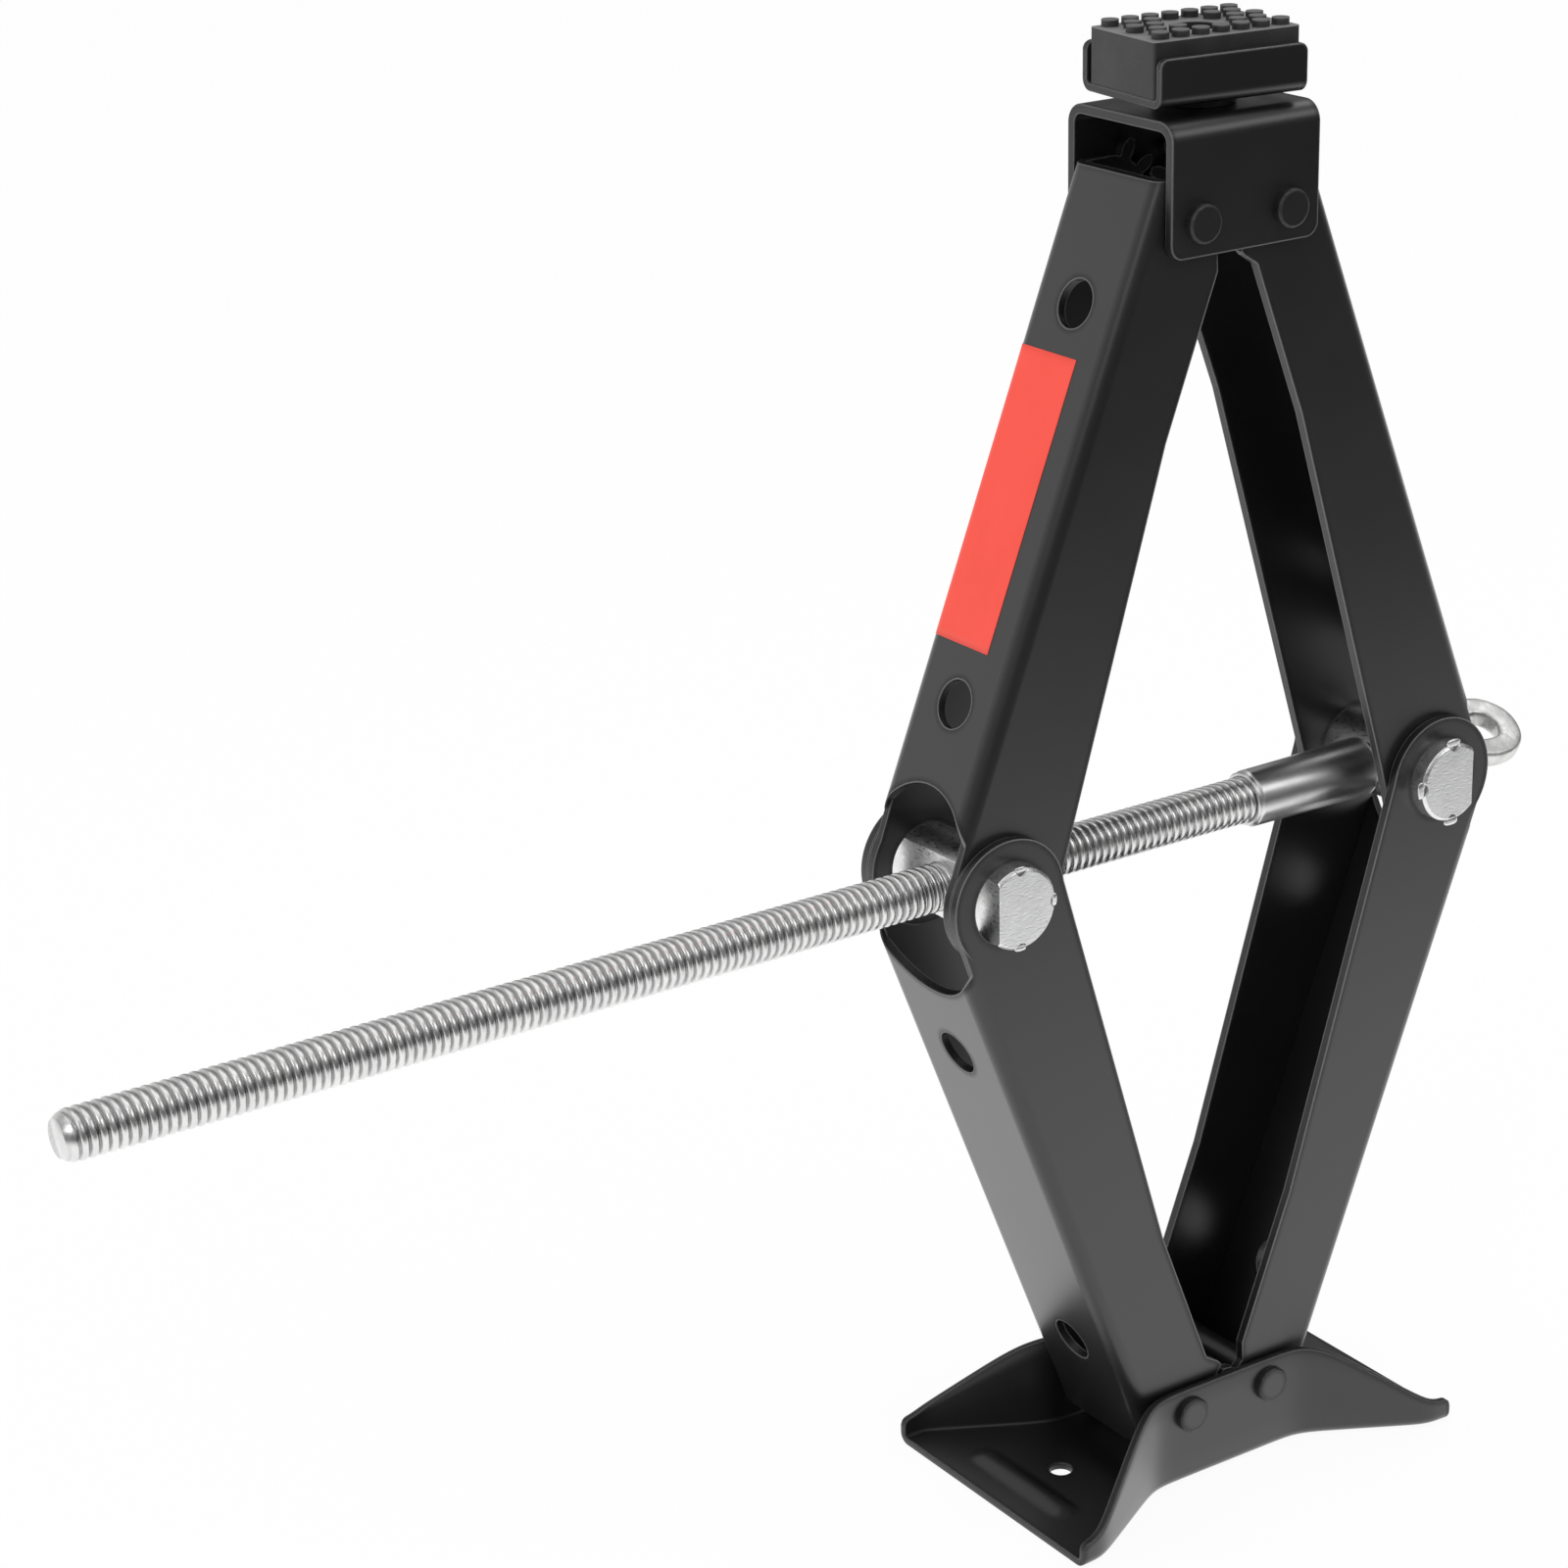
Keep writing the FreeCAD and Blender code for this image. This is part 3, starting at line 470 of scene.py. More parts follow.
# %% Thread
SCREW_HEIGHT = 0.1771882
SCREW_START, SCREW_END, THREAD_END = -0.30766, 0.0795, 0.024
PITCH, CREST, ROOT = 0.0023, 0.0060, 0.0052
LAND_HALF, FLANK_FOOT, LAND_DOME = 0.28, 0.41, 0.22
TIP_RADIUS, TIP_LENGTH = 0.0044, 0.0040
FADE_LENGTH, SHANK_SHARE, SHANK_STEP = 0.003, 0.6, 0.0005
GROOVE_SHADE_TOP = 0.75
RINGS_PER_PITCH, RING_POINTS = 13, 42


def thread_shape(x, turn):
    """One on a land and zero in a groove: the land is domed across its top and falls over steep flanks."""
    phase = np.mod(x / PITCH - turn / (2 * math.pi), 1.0)
    away = np.abs(phase - 0.5)
    flank = np.clip((FLANK_FOOT - away) / (FLANK_FOOT - LAND_HALF), 0.0, 1.0)
    dome = LAND_DOME * np.clip(away / LAND_HALF, 0.0, 1.0) ** 2
    return ease(flank) * (1.0 - dome)


def make_thread():
    """Close rings along the thread, then two for the plain shank. The radius is the root plus the land's
    share of the depth, which fades to the shank's share at the thread's end, and a rounded tip cuts it.
    Painted shade grows with the depth in the groove, and the tip has none."""
    x = np.concatenate([np.arange(SCREW_START, THREAD_END, PITCH / RINGS_PER_PITCH),
                        [THREAD_END + SHANK_STEP, SCREW_END]])
    along, around = np.meshgrid(x, full_turn(RING_POINTS), indexing="ij")
    fade = np.clip((THREAD_END - along) / FADE_LENGTH, 0.0, 1.0)
    shape = thread_shape(along, around) * fade + SHANK_SHARE * (1.0 - fade)
    tip = np.clip((along - SCREW_START) / TIP_LENGTH, 0.0, 1.0)
    tip_radius = TIP_RADIUS + (CREST - TIP_RADIUS) * (1.0 - (1.0 - tip) ** 2)
    radius = np.minimum(ROOT + (CREST - ROOT) * shape, tip_radius)
    points = np.stack([along, radius * np.cos(around), SCREW_HEIGHT + radius * np.sin(around)], -1)
    faces = as_faces(grid_quads(*radius.shape), end_faces(*radius.shape))
    piece = new_piece("screw_thread", points, faces, zinc_thread, "screw")
    # Painted shade in the grooves: it grows with the depth and is kept for the finish.
    groove_shade = np.clip(1.0 - shape / GROOVE_SHADE_TOP, 0.0, 1.0) * tip
    depth = piece.data.attributes.new("groove", "FLOAT", "POINT")
    depth.data.foreach_set("value", groove_shade.ravel().astype(np.float32))
    return piece


screw_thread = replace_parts(make_thread(), "lead_screw")
print("thread faces:", len(screw_thread.data.polygons))

# %% [markdown]
# ## The crimped sleeve
#
# A short tube is crimped on the screw beside the cross bar and stops the travel. The press leaves long
# flats, so the radius is a circle with a few shallow dents that run along the tube and wander. Bump in
# the finish could fake them, but then the exported mesh would be a plain tube.

# %% Sleeve
SLEEVE_START, SLEEVE_END = 0.0190645, 0.0590645
SLEEVE_BORE, SLEEVE_FREE, SLEEVE_WIDE = 0.00605, 0.0074, 0.0078
SLEEVE_FLATS, SLEEVE_DENT, DENT_FADE = 5, 0.00030, 0.7
DENT_TURN, DENT_DRIFT, DENT_WANDER = 0.35, 0.35, 0.20
SLEEVE_ROWS, SLEEVE_SIDES = 48, 96
# The rolled rim at the free end: places from the sleeve's start, and heights over the bore.
RIM_PLACES = np.array([0.0, 0.0, 0.0003, 0.0008, 0.0010])
RIM_HEIGHTS = np.array([0.0, 0.0005, 0.0008, 0.0009, 0.0008])
OUTSIDE_START, TAIL_CORNER = 0.0012, 0.0003


def sleeve_radius(share, turn):
    """From the free radius to the wide one along the tube, less soft flats that wander round it and fade
    towards the wide end."""
    plain = SLEEVE_FREE + (SLEEVE_WIDE - SLEEVE_FREE) * share
    wander = DENT_DRIFT * share + DENT_WANDER * np.sin(2.0 * turn + 1.0)
    flats = 0.5 - 0.5 * np.cos(SLEEVE_FLATS * (turn - DENT_TURN - wander))
    return plain - SLEEVE_DENT * flats ** 2 * (1.0 - DENT_FADE * share)


def make_sleeve():
    """Rings for the rolled rim, for the dented outside and for the far end; the last ring joins the first
    through the bore, so the skin is closed."""
    turn = full_turn(SLEEVE_SIDES)[None, :]
    share = np.linspace(0.0, 1.0, SLEEVE_ROWS)[:, None]
    length = SLEEVE_END - SLEEVE_START
    outside = OUTSIDE_START + share * (length - OUTSIDE_START - TAIL_CORNER)
    places = np.concatenate([RIM_PLACES[:, None], outside, [[length], [length]]])
    even = np.ones_like(turn)
    tail = np.array([[SLEEVE_WIDE - TAIL_CORNER], [SLEEVE_BORE]])
    radius = np.concatenate([(SLEEVE_BORE + RIM_HEIGHTS)[:, None] * even, sleeve_radius(share, turn),
                             tail * even])
    points = np.stack([SLEEVE_START + places * even, radius * np.cos(turn),
                       SCREW_HEIGHT + radius * np.sin(turn)], -1)
    faces = as_faces(grid_quads(*radius.shape, loop=True))
    return new_piece("crimped_sleeve", points, faces, bright_zinc, "screw")


crimped_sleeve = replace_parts(make_sleeve(), "stop_sleeve")
print("sleeve quads:", len(crimped_sleeve.data.polygons))

# %% [markdown]
# ## The forged eye
#
# The end of the screw is flattened and pierced to take the hook of a crank. The ring is a flat section
# with rounded corners carried round a slightly stretched circle, and the collar and neck are rings
# along X that flatten into it. A boolean union would leave a hard crease between them, so a voxel remesh
# fuses them as forging would.

# %% Eye
EYE_X, EYE_TURN = 0.1009145, math.radians(25.7)
EYE_OUTER, EYE_INNER, EYE_STRETCH, EYE_HALF = 0.0110, 0.0044, 0.0011, 0.0027
EYE_CORNER, EYE_STRAIGHT = 4.5, 4
EYE_SWELL, EYE_RIPPLE, EYE_THINNING = 0.025, 0.015, 0.05
EYE_STEPS, EYE_SIDES, NECK_SIDES = 96, 32, 40
EYE_VOXEL = 0.0004
COLLAR_X, COLLAR_END, COLLAR_RADIUS = 0.0800145, 0.0840145, 0.0090
# Rings of the collar and neck: place along X, and half sizes across and through the eye's plane.
NECK_RINGS = np.array([
    (COLLAR_X, 0.0085, 0.0085), (COLLAR_X + 0.0005, COLLAR_RADIUS, COLLAR_RADIUS),
    (COLLAR_END - 0.0005, COLLAR_RADIUS, COLLAR_RADIUS), (COLLAR_END, 0.0084, 0.0084),
    (COLLAR_END + 0.0003, 0.0063, 0.0063), (COLLAR_END + 0.002, 0.0060, 0.0056),
    (COLLAR_END + 0.0055, 0.0062, 0.0042), (COLLAR_END + 0.0085, 0.0066, 0.0028),
])
eye_across = np.array([0.0, math.cos(EYE_TURN), math.sin(EYE_TURN)])
eye_normal = np.array([0.0, -math.sin(EYE_TURN), math.cos(EYE_TURN)])
screw_axis = np.array([1.0, 0.0, 0.0])
screw_middle = np.array([0.0, 0.0, SCREW_HEIGHT])


def in_eye_plane(x, side, lift):
    """Points on the screw's axis at x, moved to the side in the eye's plane and lifted out of it."""
    return (screw_middle + x[..., None] * screw_axis + side[..., None] * eye_across
            + lift[..., None] * eye_normal)


def superellipse(angle, power):
    """Unit outline between an ellipse and a rectangle: signed powers of cosine and sine."""
    c, s = np.cos(angle), np.sin(angle)
    return np.sign(c) * np.abs(c) ** (2 / power), np.sign(s) * np.abs(s) ** (2 / power)


def eye_ring():
    """Points are the middle plus the path plus the section; the section is a rounded rectangle that
    swells and thins a little on its way round."""
    u, v = full_turn(EYE_STEPS)[:, None], full_turn(EYE_SIDES)[None, :]
    middle, half = (EYE_OUTER + EYE_INNER) / 2, (EYE_OUTER - EYE_INNER) / 2
    out, up = superellipse(v, EYE_CORNER)
    swell = 1.0 + EYE_SWELL * np.sin(3 * u + 0.7) + EYE_RIPPLE * np.sin(7 * u)
    radial = middle + half * out * swell
    run = radial * np.cos(u) + EYE_STRETCH * np.tanh(EYE_STRAIGHT * np.cos(u))
    lift = EYE_HALF * up * (1.0 + EYE_THINNING * np.sin(2 * u + 0.4))
    quads = grid_quads(EYE_STEPS, EYE_SIDES, loop=True)[:, [0, 3, 2, 1]]
    return in_eye_plane(EYE_X + run, radial * np.sin(u), lift).reshape(-1, 3), quads


def eye_neck():
    """Rings along X whose half sizes across and through the eye's plane run from round to flat."""
    a = full_turn(NECK_SIDES)
    x, wide, thick = NECK_RINGS.T[:, :, None]
    points = in_eye_plane(x + 0.0 * a, wide * np.cos(a), thick * np.sin(a))
    grid = (len(NECK_RINGS), NECK_SIDES)
    return points.reshape(-1, 3), grid_quads(*grid), end_faces(*grid)


def make_eye():
    """The ring and the neck as two closed skins in one mesh."""
    ring_points, ring_quads = eye_ring()
    neck_points, neck_quads, neck_ends = eye_neck()
    first = len(ring_points)
    return new_piece("crank_eye", np.concatenate([ring_points, neck_points]),
                     as_faces(ring_quads, neck_quads + first, neck_ends + first),
                     zinc_forged, "screw")


crank_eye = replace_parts(make_eye(), "lead_screw")
fuse = crank_eye.modifiers.new("forged_together", "REMESH")
fuse.mode, fuse.voxel_size, fuse.use_smooth_shade = "VOXEL", EYE_VOXEL, True
worn = crank_eye.modifiers.new("worn_corners", "SMOOTH")
worn.factor, worn.iterations = 0.5, 3
print("eye faces before the remesh:", len(crank_eye.data.polygons))

# %% [markdown]
# ## Staked burrs on the cross bars
#
# Each bar is kept in the arms by three punch blows on the rim of either end. The blow leaves a groove,
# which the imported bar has, and pushes a small burr outwards. A burr is a rounded block, bent round the
# bar: place along the rim gives the angle, and height gives the radius. It could be sculpted, but one
# formula makes all twelve alike.

# %% Burrs
BAR_X, BAR_RADIUS, BAR_HALF = 0.0697645, 0.0104, 0.02395
BURR_DEEP, BURR_BACK = 0.0006, 0.0008
BURR_CORNER, BURR_END = 3.5, 3.0
BURR_STEPS, BURR_ROWS, BURR_TILT = 24, 12, math.radians(84)


def make_burrs(name, side, body, half_wide, half_high, out):
    """For each blow: the angle is the blow's plus the place along the rim over the radius, the radius is
    the rim's plus the height, and the depth runs along the bar. The rows stop short of the poles, and a
    small flat face closes each end."""
    u, v = full_turn(BURR_STEPS)[None, :], np.linspace(-BURR_TILT, BURR_TILT, BURR_ROWS)[:, None]
    cu, su = superellipse(u, BURR_CORNER)
    cv, sv = superellipse(v, BURR_END)
    wide, high, deep = half_wide * cu * cv, half_high * su * cv, BURR_DEEP * sv + 0.0 * u
    blows = np.array([math.pi / 2, -math.pi / 2, math.pi if side > 0 else 0.0])
    ends = np.array([-1.0, 1.0])
    angle = blows[:, None, None, None] + (wide / BAR_RADIUS)[None, None]
    radius = BAR_RADIUS + out + high[None, None]
    y = ends[None, :, None, None] * (BAR_HALF - BURR_BACK + deep[None, None])
    x = side * BAR_X + radius * np.cos(angle) + 0.0 * y
    z = SCREW_HEIGHT + radius * np.sin(angle) + 0.0 * y
    points = np.stack([x, y + 0.0 * x, z], -1)
    mirrored = np.tile(ends, len(blows))[:, None, None] < 0
    first = np.arange(2 * len(blows))[:, None, None] * BURR_ROWS * BURR_STEPS
    patches = [np.where(mirrored, patch[None, :, ::-1], patch[None]) + first
               for patch in (grid_quads(BURR_ROWS, BURR_STEPS), end_faces(BURR_ROWS, BURR_STEPS))]
    faces = as_faces(*[patch.reshape(-1, patch.shape[-1]) for patch in patches])
    return new_piece(name, points, faces, zinc_bar, body)


burrs = [make_burrs("stake_burrs_left", -1, "nut", half_wide=0.0017, half_high=0.0007, out=-0.0002),
         make_burrs("stake_burrs_right", 1, "block", half_wide=0.0022, half_high=0.0010, out=0.0004)]
print("burr faces:", [len(piece.data.polygons) for piece in burrs])

# %% [markdown]
# ## The pressed base
#
# The base is one pressing: a waisted floor, walls that rise to the pivots and run down to low lips at
# the corners, and a soft bar across each end. It could be cut from a block, but a real pressing is one
# bent sheet, so here the middle of the sheet is a grid. Rows run along X, columns go up one wall, over
# the floor and up the other, and a Solidify gives the thickness.

# %% Outline of the base
BASE_END, BASE_SHEET, BASE_BEND = 0.0625, 0.0020, 0.0030
WAIST_HALF, CORNER_HALF = 0.0221, 0.0396
FLARE_START, FLARE_END, WAIST_ROUND, CORNER_ROUND = 0.0250, 0.0562, 0.0022, 0.0015
EAR_TOP, LIP_TOP, LIP_ROUND = 0.0273, 0.0066, 0.0018
SLOPE_START, SLOPE_END, LEFT_SLOPE_SHIFT = 0.0290, 0.0570, 0.0019
EAR_ROUND, SLOPE_FOOT_ROUND = 0.0033, 0.0018


def rounded_ramp(x, start, rounding):
    """Zero before the start and one for one after it, with a soft turn between."""
    return rounding * np.logaddexp(0.0, (x - start) / rounding)


def base_half_width(x):
    """The waist, plus a ramp that starts at the flare and is stopped by another at the corner."""
    slope = (CORNER_HALF - WAIST_HALF) / (FLARE_END - FLARE_START)
    flare = rounded_ramp(x, FLARE_START, WAIST_ROUND) - rounded_ramp(x, FLARE_END, CORNER_ROUND)
    return WAIST_HALF + slope * flare


def wall_top(x):
    """The ear's height, less a ramp down to the lip that starts a little further out on the left; the
    lip's own corner is a quarter circle."""
    slope = (EAR_TOP - LIP_TOP) / (SLOPE_END - SLOPE_START)
    out = np.abs(x)
    down = out - np.where(x < 0.0, LEFT_SLOPE_SHIFT, 0.0)
    fall = rounded_ramp(down, SLOPE_START, EAR_ROUND) - rounded_ramp(down, SLOPE_END, SLOPE_FOOT_ROUND)
    past = np.clip(out - (BASE_END - LIP_ROUND), 0.0, LIP_ROUND)
    return EAR_TOP - slope * fall - LIP_ROUND + np.sqrt(np.maximum(LIP_ROUND ** 2 - past ** 2, 0.0))


outline_at = np.array([0.0, FLARE_START, FLARE_END, BASE_END])
print("half widths:", base_half_width(outline_at).round(4), "wall tops:", wall_top(outline_at).round(4))

# %% The sheet of the base
HOLE_PLACE, HOLE_RADIUS, HOLE_CALM = 0.0390, 0.0030, 0.0080
RIB_PLACE, RIB_RUN, RIB_HIGH, RIB_TOP, RIB_FOOT = 0.0510, 0.0165, 0.0010, 0.0006, 0.0044
BASE_ROWS, STRIP_COLUMNS, FLOOR_COLUMNS, BEND_COLUMNS, WALL_COLUMNS = 126, 17, 25, 7, 5
# Rows that the even spacing doesn't give: at the hole's sides and close to the end.
EXTRA_ROWS = (HOLE_PLACE - HOLE_RADIUS, HOLE_PLACE + HOLE_RADIUS, BASE_END - 0.0016, BASE_END - 0.0004)
RIM_EDGE, RIM_ANGLE = 0.0003, math.radians(50)
TINY, SAME_PLACE = 1e-9, 1e-6


def base_side(x):
    """One side of the sheet from the middle strip outwards: floor, bend and wall, as places across and
    up."""
    wide, top = base_half_width(np.abs(x))[:, None], wall_top(x)[:, None]
    half, bend = BASE_SHEET / 2, BASE_BEND - BASE_SHEET / 2
    foot = wide - half - bend
    share = np.linspace(0.0, 1.0, FLOOR_COLUMNS)[None, 1:]
    turn = np.linspace(0.0, math.pi / 2, BEND_COLUMNS)[None, 1:]
    rise = np.linspace(0.0, 1.0, WALL_COLUMNS)[None, 1:]
    flat = np.ones_like(wide)
    across = np.concatenate([HOLE_CALM + (foot - HOLE_CALM) * share, foot + bend * np.sin(turn),
                             (wide - half) + 0.0 * rise], 1)
    up = np.concatenate([half * flat + 0.0 * share, half + bend * (1.0 - np.cos(turn)) * flat,
                         BASE_BEND + (top - BASE_BEND) * rise], 1)
    return across, up


def make_base():
    """The two sides and the middle strip, with round holes and soft bars in the floor: near a hole each
    point moves in along its ray, so that squares about the hole become circles, and the bar's height
    falls off with the distance from its middle line."""
    even = np.linspace(-BASE_END, BASE_END, BASE_ROWS)
    x = np.unique(np.concatenate([even, np.outer([-1, 1], EXTRA_ROWS).ravel()]))
    across, up = base_side(x)
    strip = np.repeat(np.linspace(-HOLE_CALM, HOLE_CALM, STRIP_COLUMNS)[None, :], len(x), 0)
    y = np.concatenate([-across[:, ::-1], strip, across], 1)
    z = np.concatenate([up[:, ::-1], np.full_like(strip, BASE_SHEET / 2), up], 1)
    x = np.repeat(x[:, None], y.shape[1], 1)
    from_hole = np.abs(x) - HOLE_PLACE
    square = np.maximum(np.abs(from_hole), np.abs(y))
    round_way = np.maximum(np.hypot(from_hole, y), TINY)
    pull = np.clip((HOLE_CALM - square) / (HOLE_CALM - HOLE_RADIUS), 0.0, 1.0)
    scale = 1.0 - pull + pull * square / round_way
    quads = grid_quads(*x.shape, ring=False)
    inside = (square.ravel()[quads] <= HOLE_RADIUS + SAME_PLACE).all(1)
    x, y = np.sign(x) * (HOLE_PLACE + from_hole * scale), y * scale
    off_bar = np.hypot(np.abs(x) - RIB_PLACE, np.maximum(np.abs(y) - RIB_RUN, 0.0))
    z = z + RIB_HIGH * ease(np.clip((RIB_FOOT - off_bar) / (RIB_FOOT - RIB_TOP), 0.0, 1.0))
    points = np.stack([x, y, z], -1)
    return new_piece("pressed_base", points, as_faces(quads[~inside]), black_coat, "base")


pressed_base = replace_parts(make_base(), "base_plate")
sheet = pressed_base.modifiers.new("sheet", "SOLIDIFY")
sheet.thickness, sheet.offset, sheet.use_even_offset = BASE_SHEET, 0.0, True
rim = pressed_base.modifiers.new("broken_edges", "BEVEL")
rim.width, rim.segments, rim.limit_method = RIM_EDGE, EDGE_SEGMENTS, "ANGLE"
rim.angle_limit, rim.use_clamp_overlap, rim.loop_slide = RIM_ANGLE, False, False
print("base quads:", len(pressed_base.data.polygons))

# %% [markdown]
# ## The red film
#
# A plain red film is stuck on the web of the upper left arm and bends over its far edge. A second finish
# on the arm would do from afar, but a film has a thickness and an edge of its own. It is a grid whose
# rows run along the arm and whose columns run across the web and round the bend.

# %% Red film
ARM_LENGTH, HALF_SPACING, REST_ANGLE = 0.1668, 0.0134, math.radians(70.25)
TOP_PIVOT = 0.3341763
UPPER_HALF_WIDTH, ARM_BEND = 0.0168, 0.004
WEB_AT_PIVOT, WEB_AT_TRUNNION = 0.0134, 0.0184
FILM_START, FILM_END, FILM_ROWS = 0.0381, 0.1105, 30
FILM_NEAR, FILM_FAR, FILM_COLUMNS = -0.0064, 0.0165, 40
FILM_LIFT, FILM_THICKNESS = 0.00012, 0.0001
FILM_DARK, FILM_LIGHT, FILM_ROUGH = (0.97, 0.074, 0.046), (1.00, 0.084, 0.054), (0.40, 0.50)


def make_red_film_finish():
    """Satin red plastic with a faint drift."""
    material, tree, shader, place = new_material("red_film")
    drift = noise(tree, place, scale=90.0)
    tree.links.new(two_colours(tree, drift, FILM_DARK, FILM_LIGHT), shader.inputs["Base Color"])
    tree.links.new(spread(tree, drift, *FILM_ROUGH), shader.inputs["Roughness"])
    return material


def make_red_film():
    """Place along the arm times its direction, plus the web's height times the outward direction, plus
    the way across."""
    along = np.array([-math.cos(REST_ANGLE), 0.0, -math.sin(REST_ANGLE)])
    outward = np.array([-math.sin(REST_ANGLE), 0.0, math.cos(REST_ANGLE)])
    s = np.linspace(FILM_START, FILM_END, FILM_ROWS)[:, None]
    a = np.linspace(FILM_NEAR, FILM_FAR, FILM_COLUMNS)[None, :]
    flat = UPPER_HALF_WIDTH - ARM_BEND
    bend = np.clip((a - flat) / ARM_BEND, 0.0, None)
    radius = ARM_BEND + FILM_LIFT
    across = np.minimum(a, flat) + radius * np.sin(bend)
    drop = radius * (1.0 - np.cos(bend))
    web = WEB_AT_PIVOT + (WEB_AT_TRUNNION - WEB_AT_PIVOT) * s / ARM_LENGTH
    height = web + FILM_LIFT - drop
    points = (np.array([-HALF_SPACING, 0.0, TOP_PIVOT]) + s[..., None] * along
              + height[..., None] * outward + across[..., None] * np.array([0.0, 1.0, 0.0]))
    faces = as_faces(grid_quads(FILM_ROWS, FILM_COLUMNS, ring=False))
    return new_piece("red_film", points, faces, make_red_film_finish(), "upper_left")


red_film = make_red_film()
thickness = red_film.modifiers.new("film_thickness", "SOLIDIFY")
thickness.thickness, thickness.offset = FILM_THICKNESS, -1.0
print("film quads:", len(red_film.data.polygons))

# %% [markdown]
# ## Helpers for the studio
#
# The floor and the world look different to the camera, to reflections and to the plain light on the jack.
# The Light Path node tells these rays apart, and mix shaders choose between them.

# %% Studio helpers
MIRROR_RAYS = ("Is Glossy Ray", "Is Transmission Ray")


def either(tree, path, *rays):
    """One where the ray is of any of the kinds named."""
    value = path.outputs[rays[0]]
    for ray in rays[1:]:
        value = combine(tree, "MAXIMUM", value, path.outputs[ray])
    return value


def facing(tree, place, direction):
    """How far the place lies in the direction: their dot product."""
    towards = tree.nodes.new("ShaderNodeVectorMath")
    towards.operation = "DOT_PRODUCT"
    towards.inputs[1].default_value = direction
    tree.links.new(place, towards.inputs[0])
    return towards.outputs["Value"]


def glow(tree, kind, colour):
    """An Emission or Background shader of one colour, or of a colour that comes from a link."""
    node = tree.nodes.new(kind)
    if isinstance(colour, tuple):
        node.inputs["Color"].default_value = (*colour, 1.0)
    else:
        tree.links.new(colour, node.inputs["Color"])
    return node.outputs[0]


def choose(tree, value, first, second):
    """The first shader where the value is zero, and the second where it is one."""
    mix = tree.nodes.new("ShaderNodeMixShader")
    tree.links.new(value, mix.inputs["Fac"])
    tree.links.new(first, mix.inputs[1])
    tree.links.new(second, mix.inputs[2])
    return mix.outputs["Shader"]


print("rays of reflections:", MIRROR_RAYS)

# %% [markdown]
# ## Floor
#
# The jack stands on a white sheet. The camera sees it as white with the jack's soft shadow. Reflections
# see the same white close by, and the dim room where the sheet ends in front on the right; that gives
# the plates their fade from the foot upwards.

# %% Floor
FLOOR_HALF = 4.0
SHEET_WHITE, SHEET_SHARE = 0.94, 0.93
SHEET_EDGE, SHEET_FADE = (0.25, -0.97, 0.0), (0.27, 0.76)
ROOM_DARK = 0.03


def make_floor():
    """A large pale sheet whose shade is softened for the camera and for reflections, and which reflections
    see as the dark room past its edge."""
    corners = FLOOR_HALF * np.array([(-1, -1, 0), (1, -1, 0), (1, 1, 0), (-1, 1, 0)])
    mesh = bpy.data.meshes.new("floor")
    mesh.from_pydata(corners.tolist(), [], [(0, 1, 2, 3)])
    floor = bpy.data.objects.new("floor", mesh)
    scene.collection.objects.link(floor)
    material, tree, shader, place = new_material("pale_floor")
    shader.inputs["Base Color"].default_value = (*grey(SHEET_WHITE), 1.0)
    shader.inputs["Roughness"].default_value = 1.0
    shader.inputs["Specular IOR Level"].default_value = 0.0
    path = tree.nodes.new("ShaderNodeLightPath")
    seen = either(tree, path, "Is Camera Ray", *MIRROR_RAYS)
    white, dark = [glow(tree, "ShaderNodeEmission", grey(level)) for level in (1.0, ROOM_DARK)]
    sheet = choose(tree, combine(tree, "MULTIPLY", seen, SHEET_SHARE), shader.outputs["BSDF"], white)
    beyond = spread(tree, facing(tree, place, SHEET_EDGE), 0.0, 1.0, *SHEET_FADE)
    past_edge = combine(tree, "MULTIPLY", beyond, either(tree, path, *MIRROR_RAYS))
    output = next(node for node in tree.nodes if node.type == "OUTPUT_MATERIAL")
    tree.links.new(choose(tree, past_edge, sheet, dark), output.inputs["Surface"])
    material.cycles.emission_sampling = "NONE"
    mesh.materials.append(material)
    return floor


floor = make_floor()
print("floor:", floor.name)

# %% [markdown]
# ## World
#
# The surround is white to the camera. A real studio is white only where its backdrop is, so reflections
# see the white sweep behind on the left and a dim room elsewhere, and the plain light on the jack is one
# even level.

# %% World
SWEEP_DIRECTION, SWEEP_LEVEL = (-0.63, 0.77, 0.0), 0.7
SWEEP_SIDES, SWEEP_TOP = (0.40, 0.80), (0.35, 0.75)
ROOM_LOW, ROOM_HIGH, ROOM_BAND = 0.10, 0.48, (0.18, 0.85)
EVEN_LEVEL = 0.82


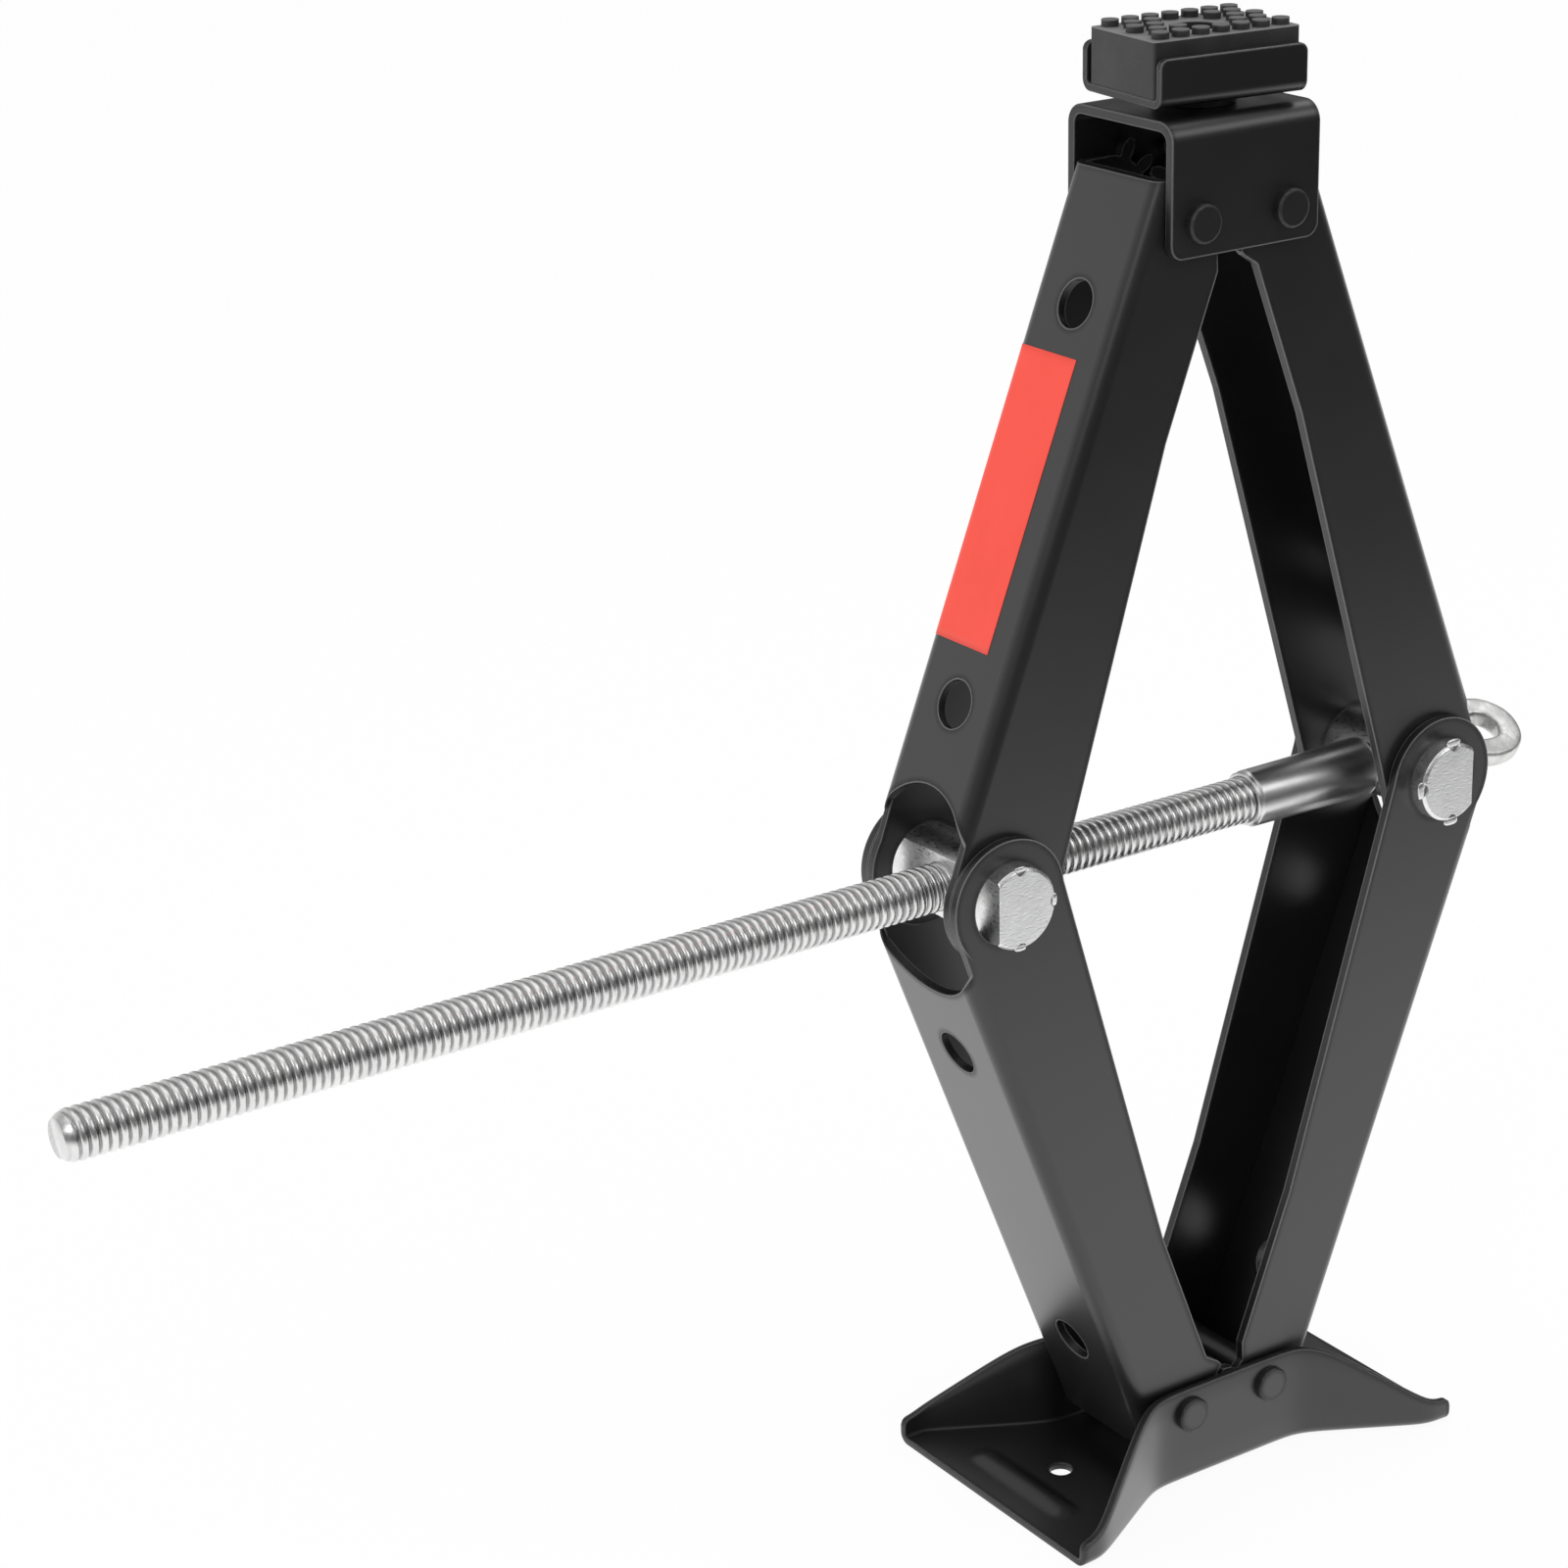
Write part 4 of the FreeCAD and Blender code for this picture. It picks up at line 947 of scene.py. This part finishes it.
def make_world():
    """White to the camera, the sweep and the room to reflections, and an even level to all else."""
    world = bpy.data.worlds.new("studio")
    scene.world = world
    world.use_nodes = True
    tree = world.node_tree
    tree.nodes.clear()
    output = tree.nodes.new("ShaderNodeOutputWorld")
    direction = tree.nodes.new("ShaderNodeTexCoord").outputs["Generated"]
    split = tree.nodes.new("ShaderNodeSeparateXYZ")
    tree.links.new(direction, split.inputs["Vector"])
    height = split.outputs["Z"]
    behind = spread(tree, facing(tree, direction, SWEEP_DIRECTION), 0.0, 1.0, *SWEEP_SIDES)
    low = spread(tree, height, 1.0, 0.0, *SWEEP_TOP)
    dim = two_colours(tree, height, grey(ROOM_LOW), grey(ROOM_HIGH), *ROOM_BAND)
    room, sweep, even, white = [glow(tree, "ShaderNodeBackground", colour)
                                for colour in (dim, grey(SWEEP_LEVEL), grey(EVEN_LEVEL), grey(1.0))]
    reflected = choose(tree, combine(tree, "MULTIPLY", behind, low), room, sweep)
    path = tree.nodes.new("ShaderNodeLightPath")
    lit = choose(tree, either(tree, path, *MIRROR_RAYS), even, reflected)
    tree.links.new(choose(tree, path.outputs["Is Camera Ray"], lit, white), output.inputs["Surface"])
    world.cycles.sampling_method = "NONE"
    return world


print("world:", make_world().name)

# %% [markdown]
# ## Lamps
#
# Four soft boxes: two overhead for the tops, one in front on the left for the folded corners, and one
# in front on the right, whose long reflection is the bright line on the screw.

# %% Lamps
JACK_MIDDLE = Vector((-0.05, 0.0, 0.18))


def add_lamp(name, place, size, level):
    """A soft rectangular lamp that faces the jack's middle; its power is its brightness times pi times
    its area."""
    data = bpy.data.lights.new(name, "AREA")
    data.shape = "RECTANGLE"
    data.size, data.size_y = size
    data.energy = level * math.pi * size[0] * size[1]
    lamp = bpy.data.objects.new(name, data)
    scene.collection.objects.link(lamp)
    lamp.location = place
    lamp.rotation_euler = (JACK_MIDDLE - Vector(place)).to_track_quat("-Z", "Y").to_euler()
    return lamp


lamps = [
    add_lamp("overhead", place=(-0.1, 0.1, 1.75), size=(1.6, 1.6), level=0.5),
    add_lamp("right_top", place=(0.75, 0.20, 1.25), size=(0.5, 0.55), level=1.0),
    add_lamp("left_front", place=(-0.91, -0.52, 0.98), size=(0.5, 0.5), level=2.2),
    add_lamp("right_front", place=(0.60, -0.80, 1.00), size=(0.9, 0.42), level=1.6),
]
print("lamps:", [lamp.name for lamp in lamps])
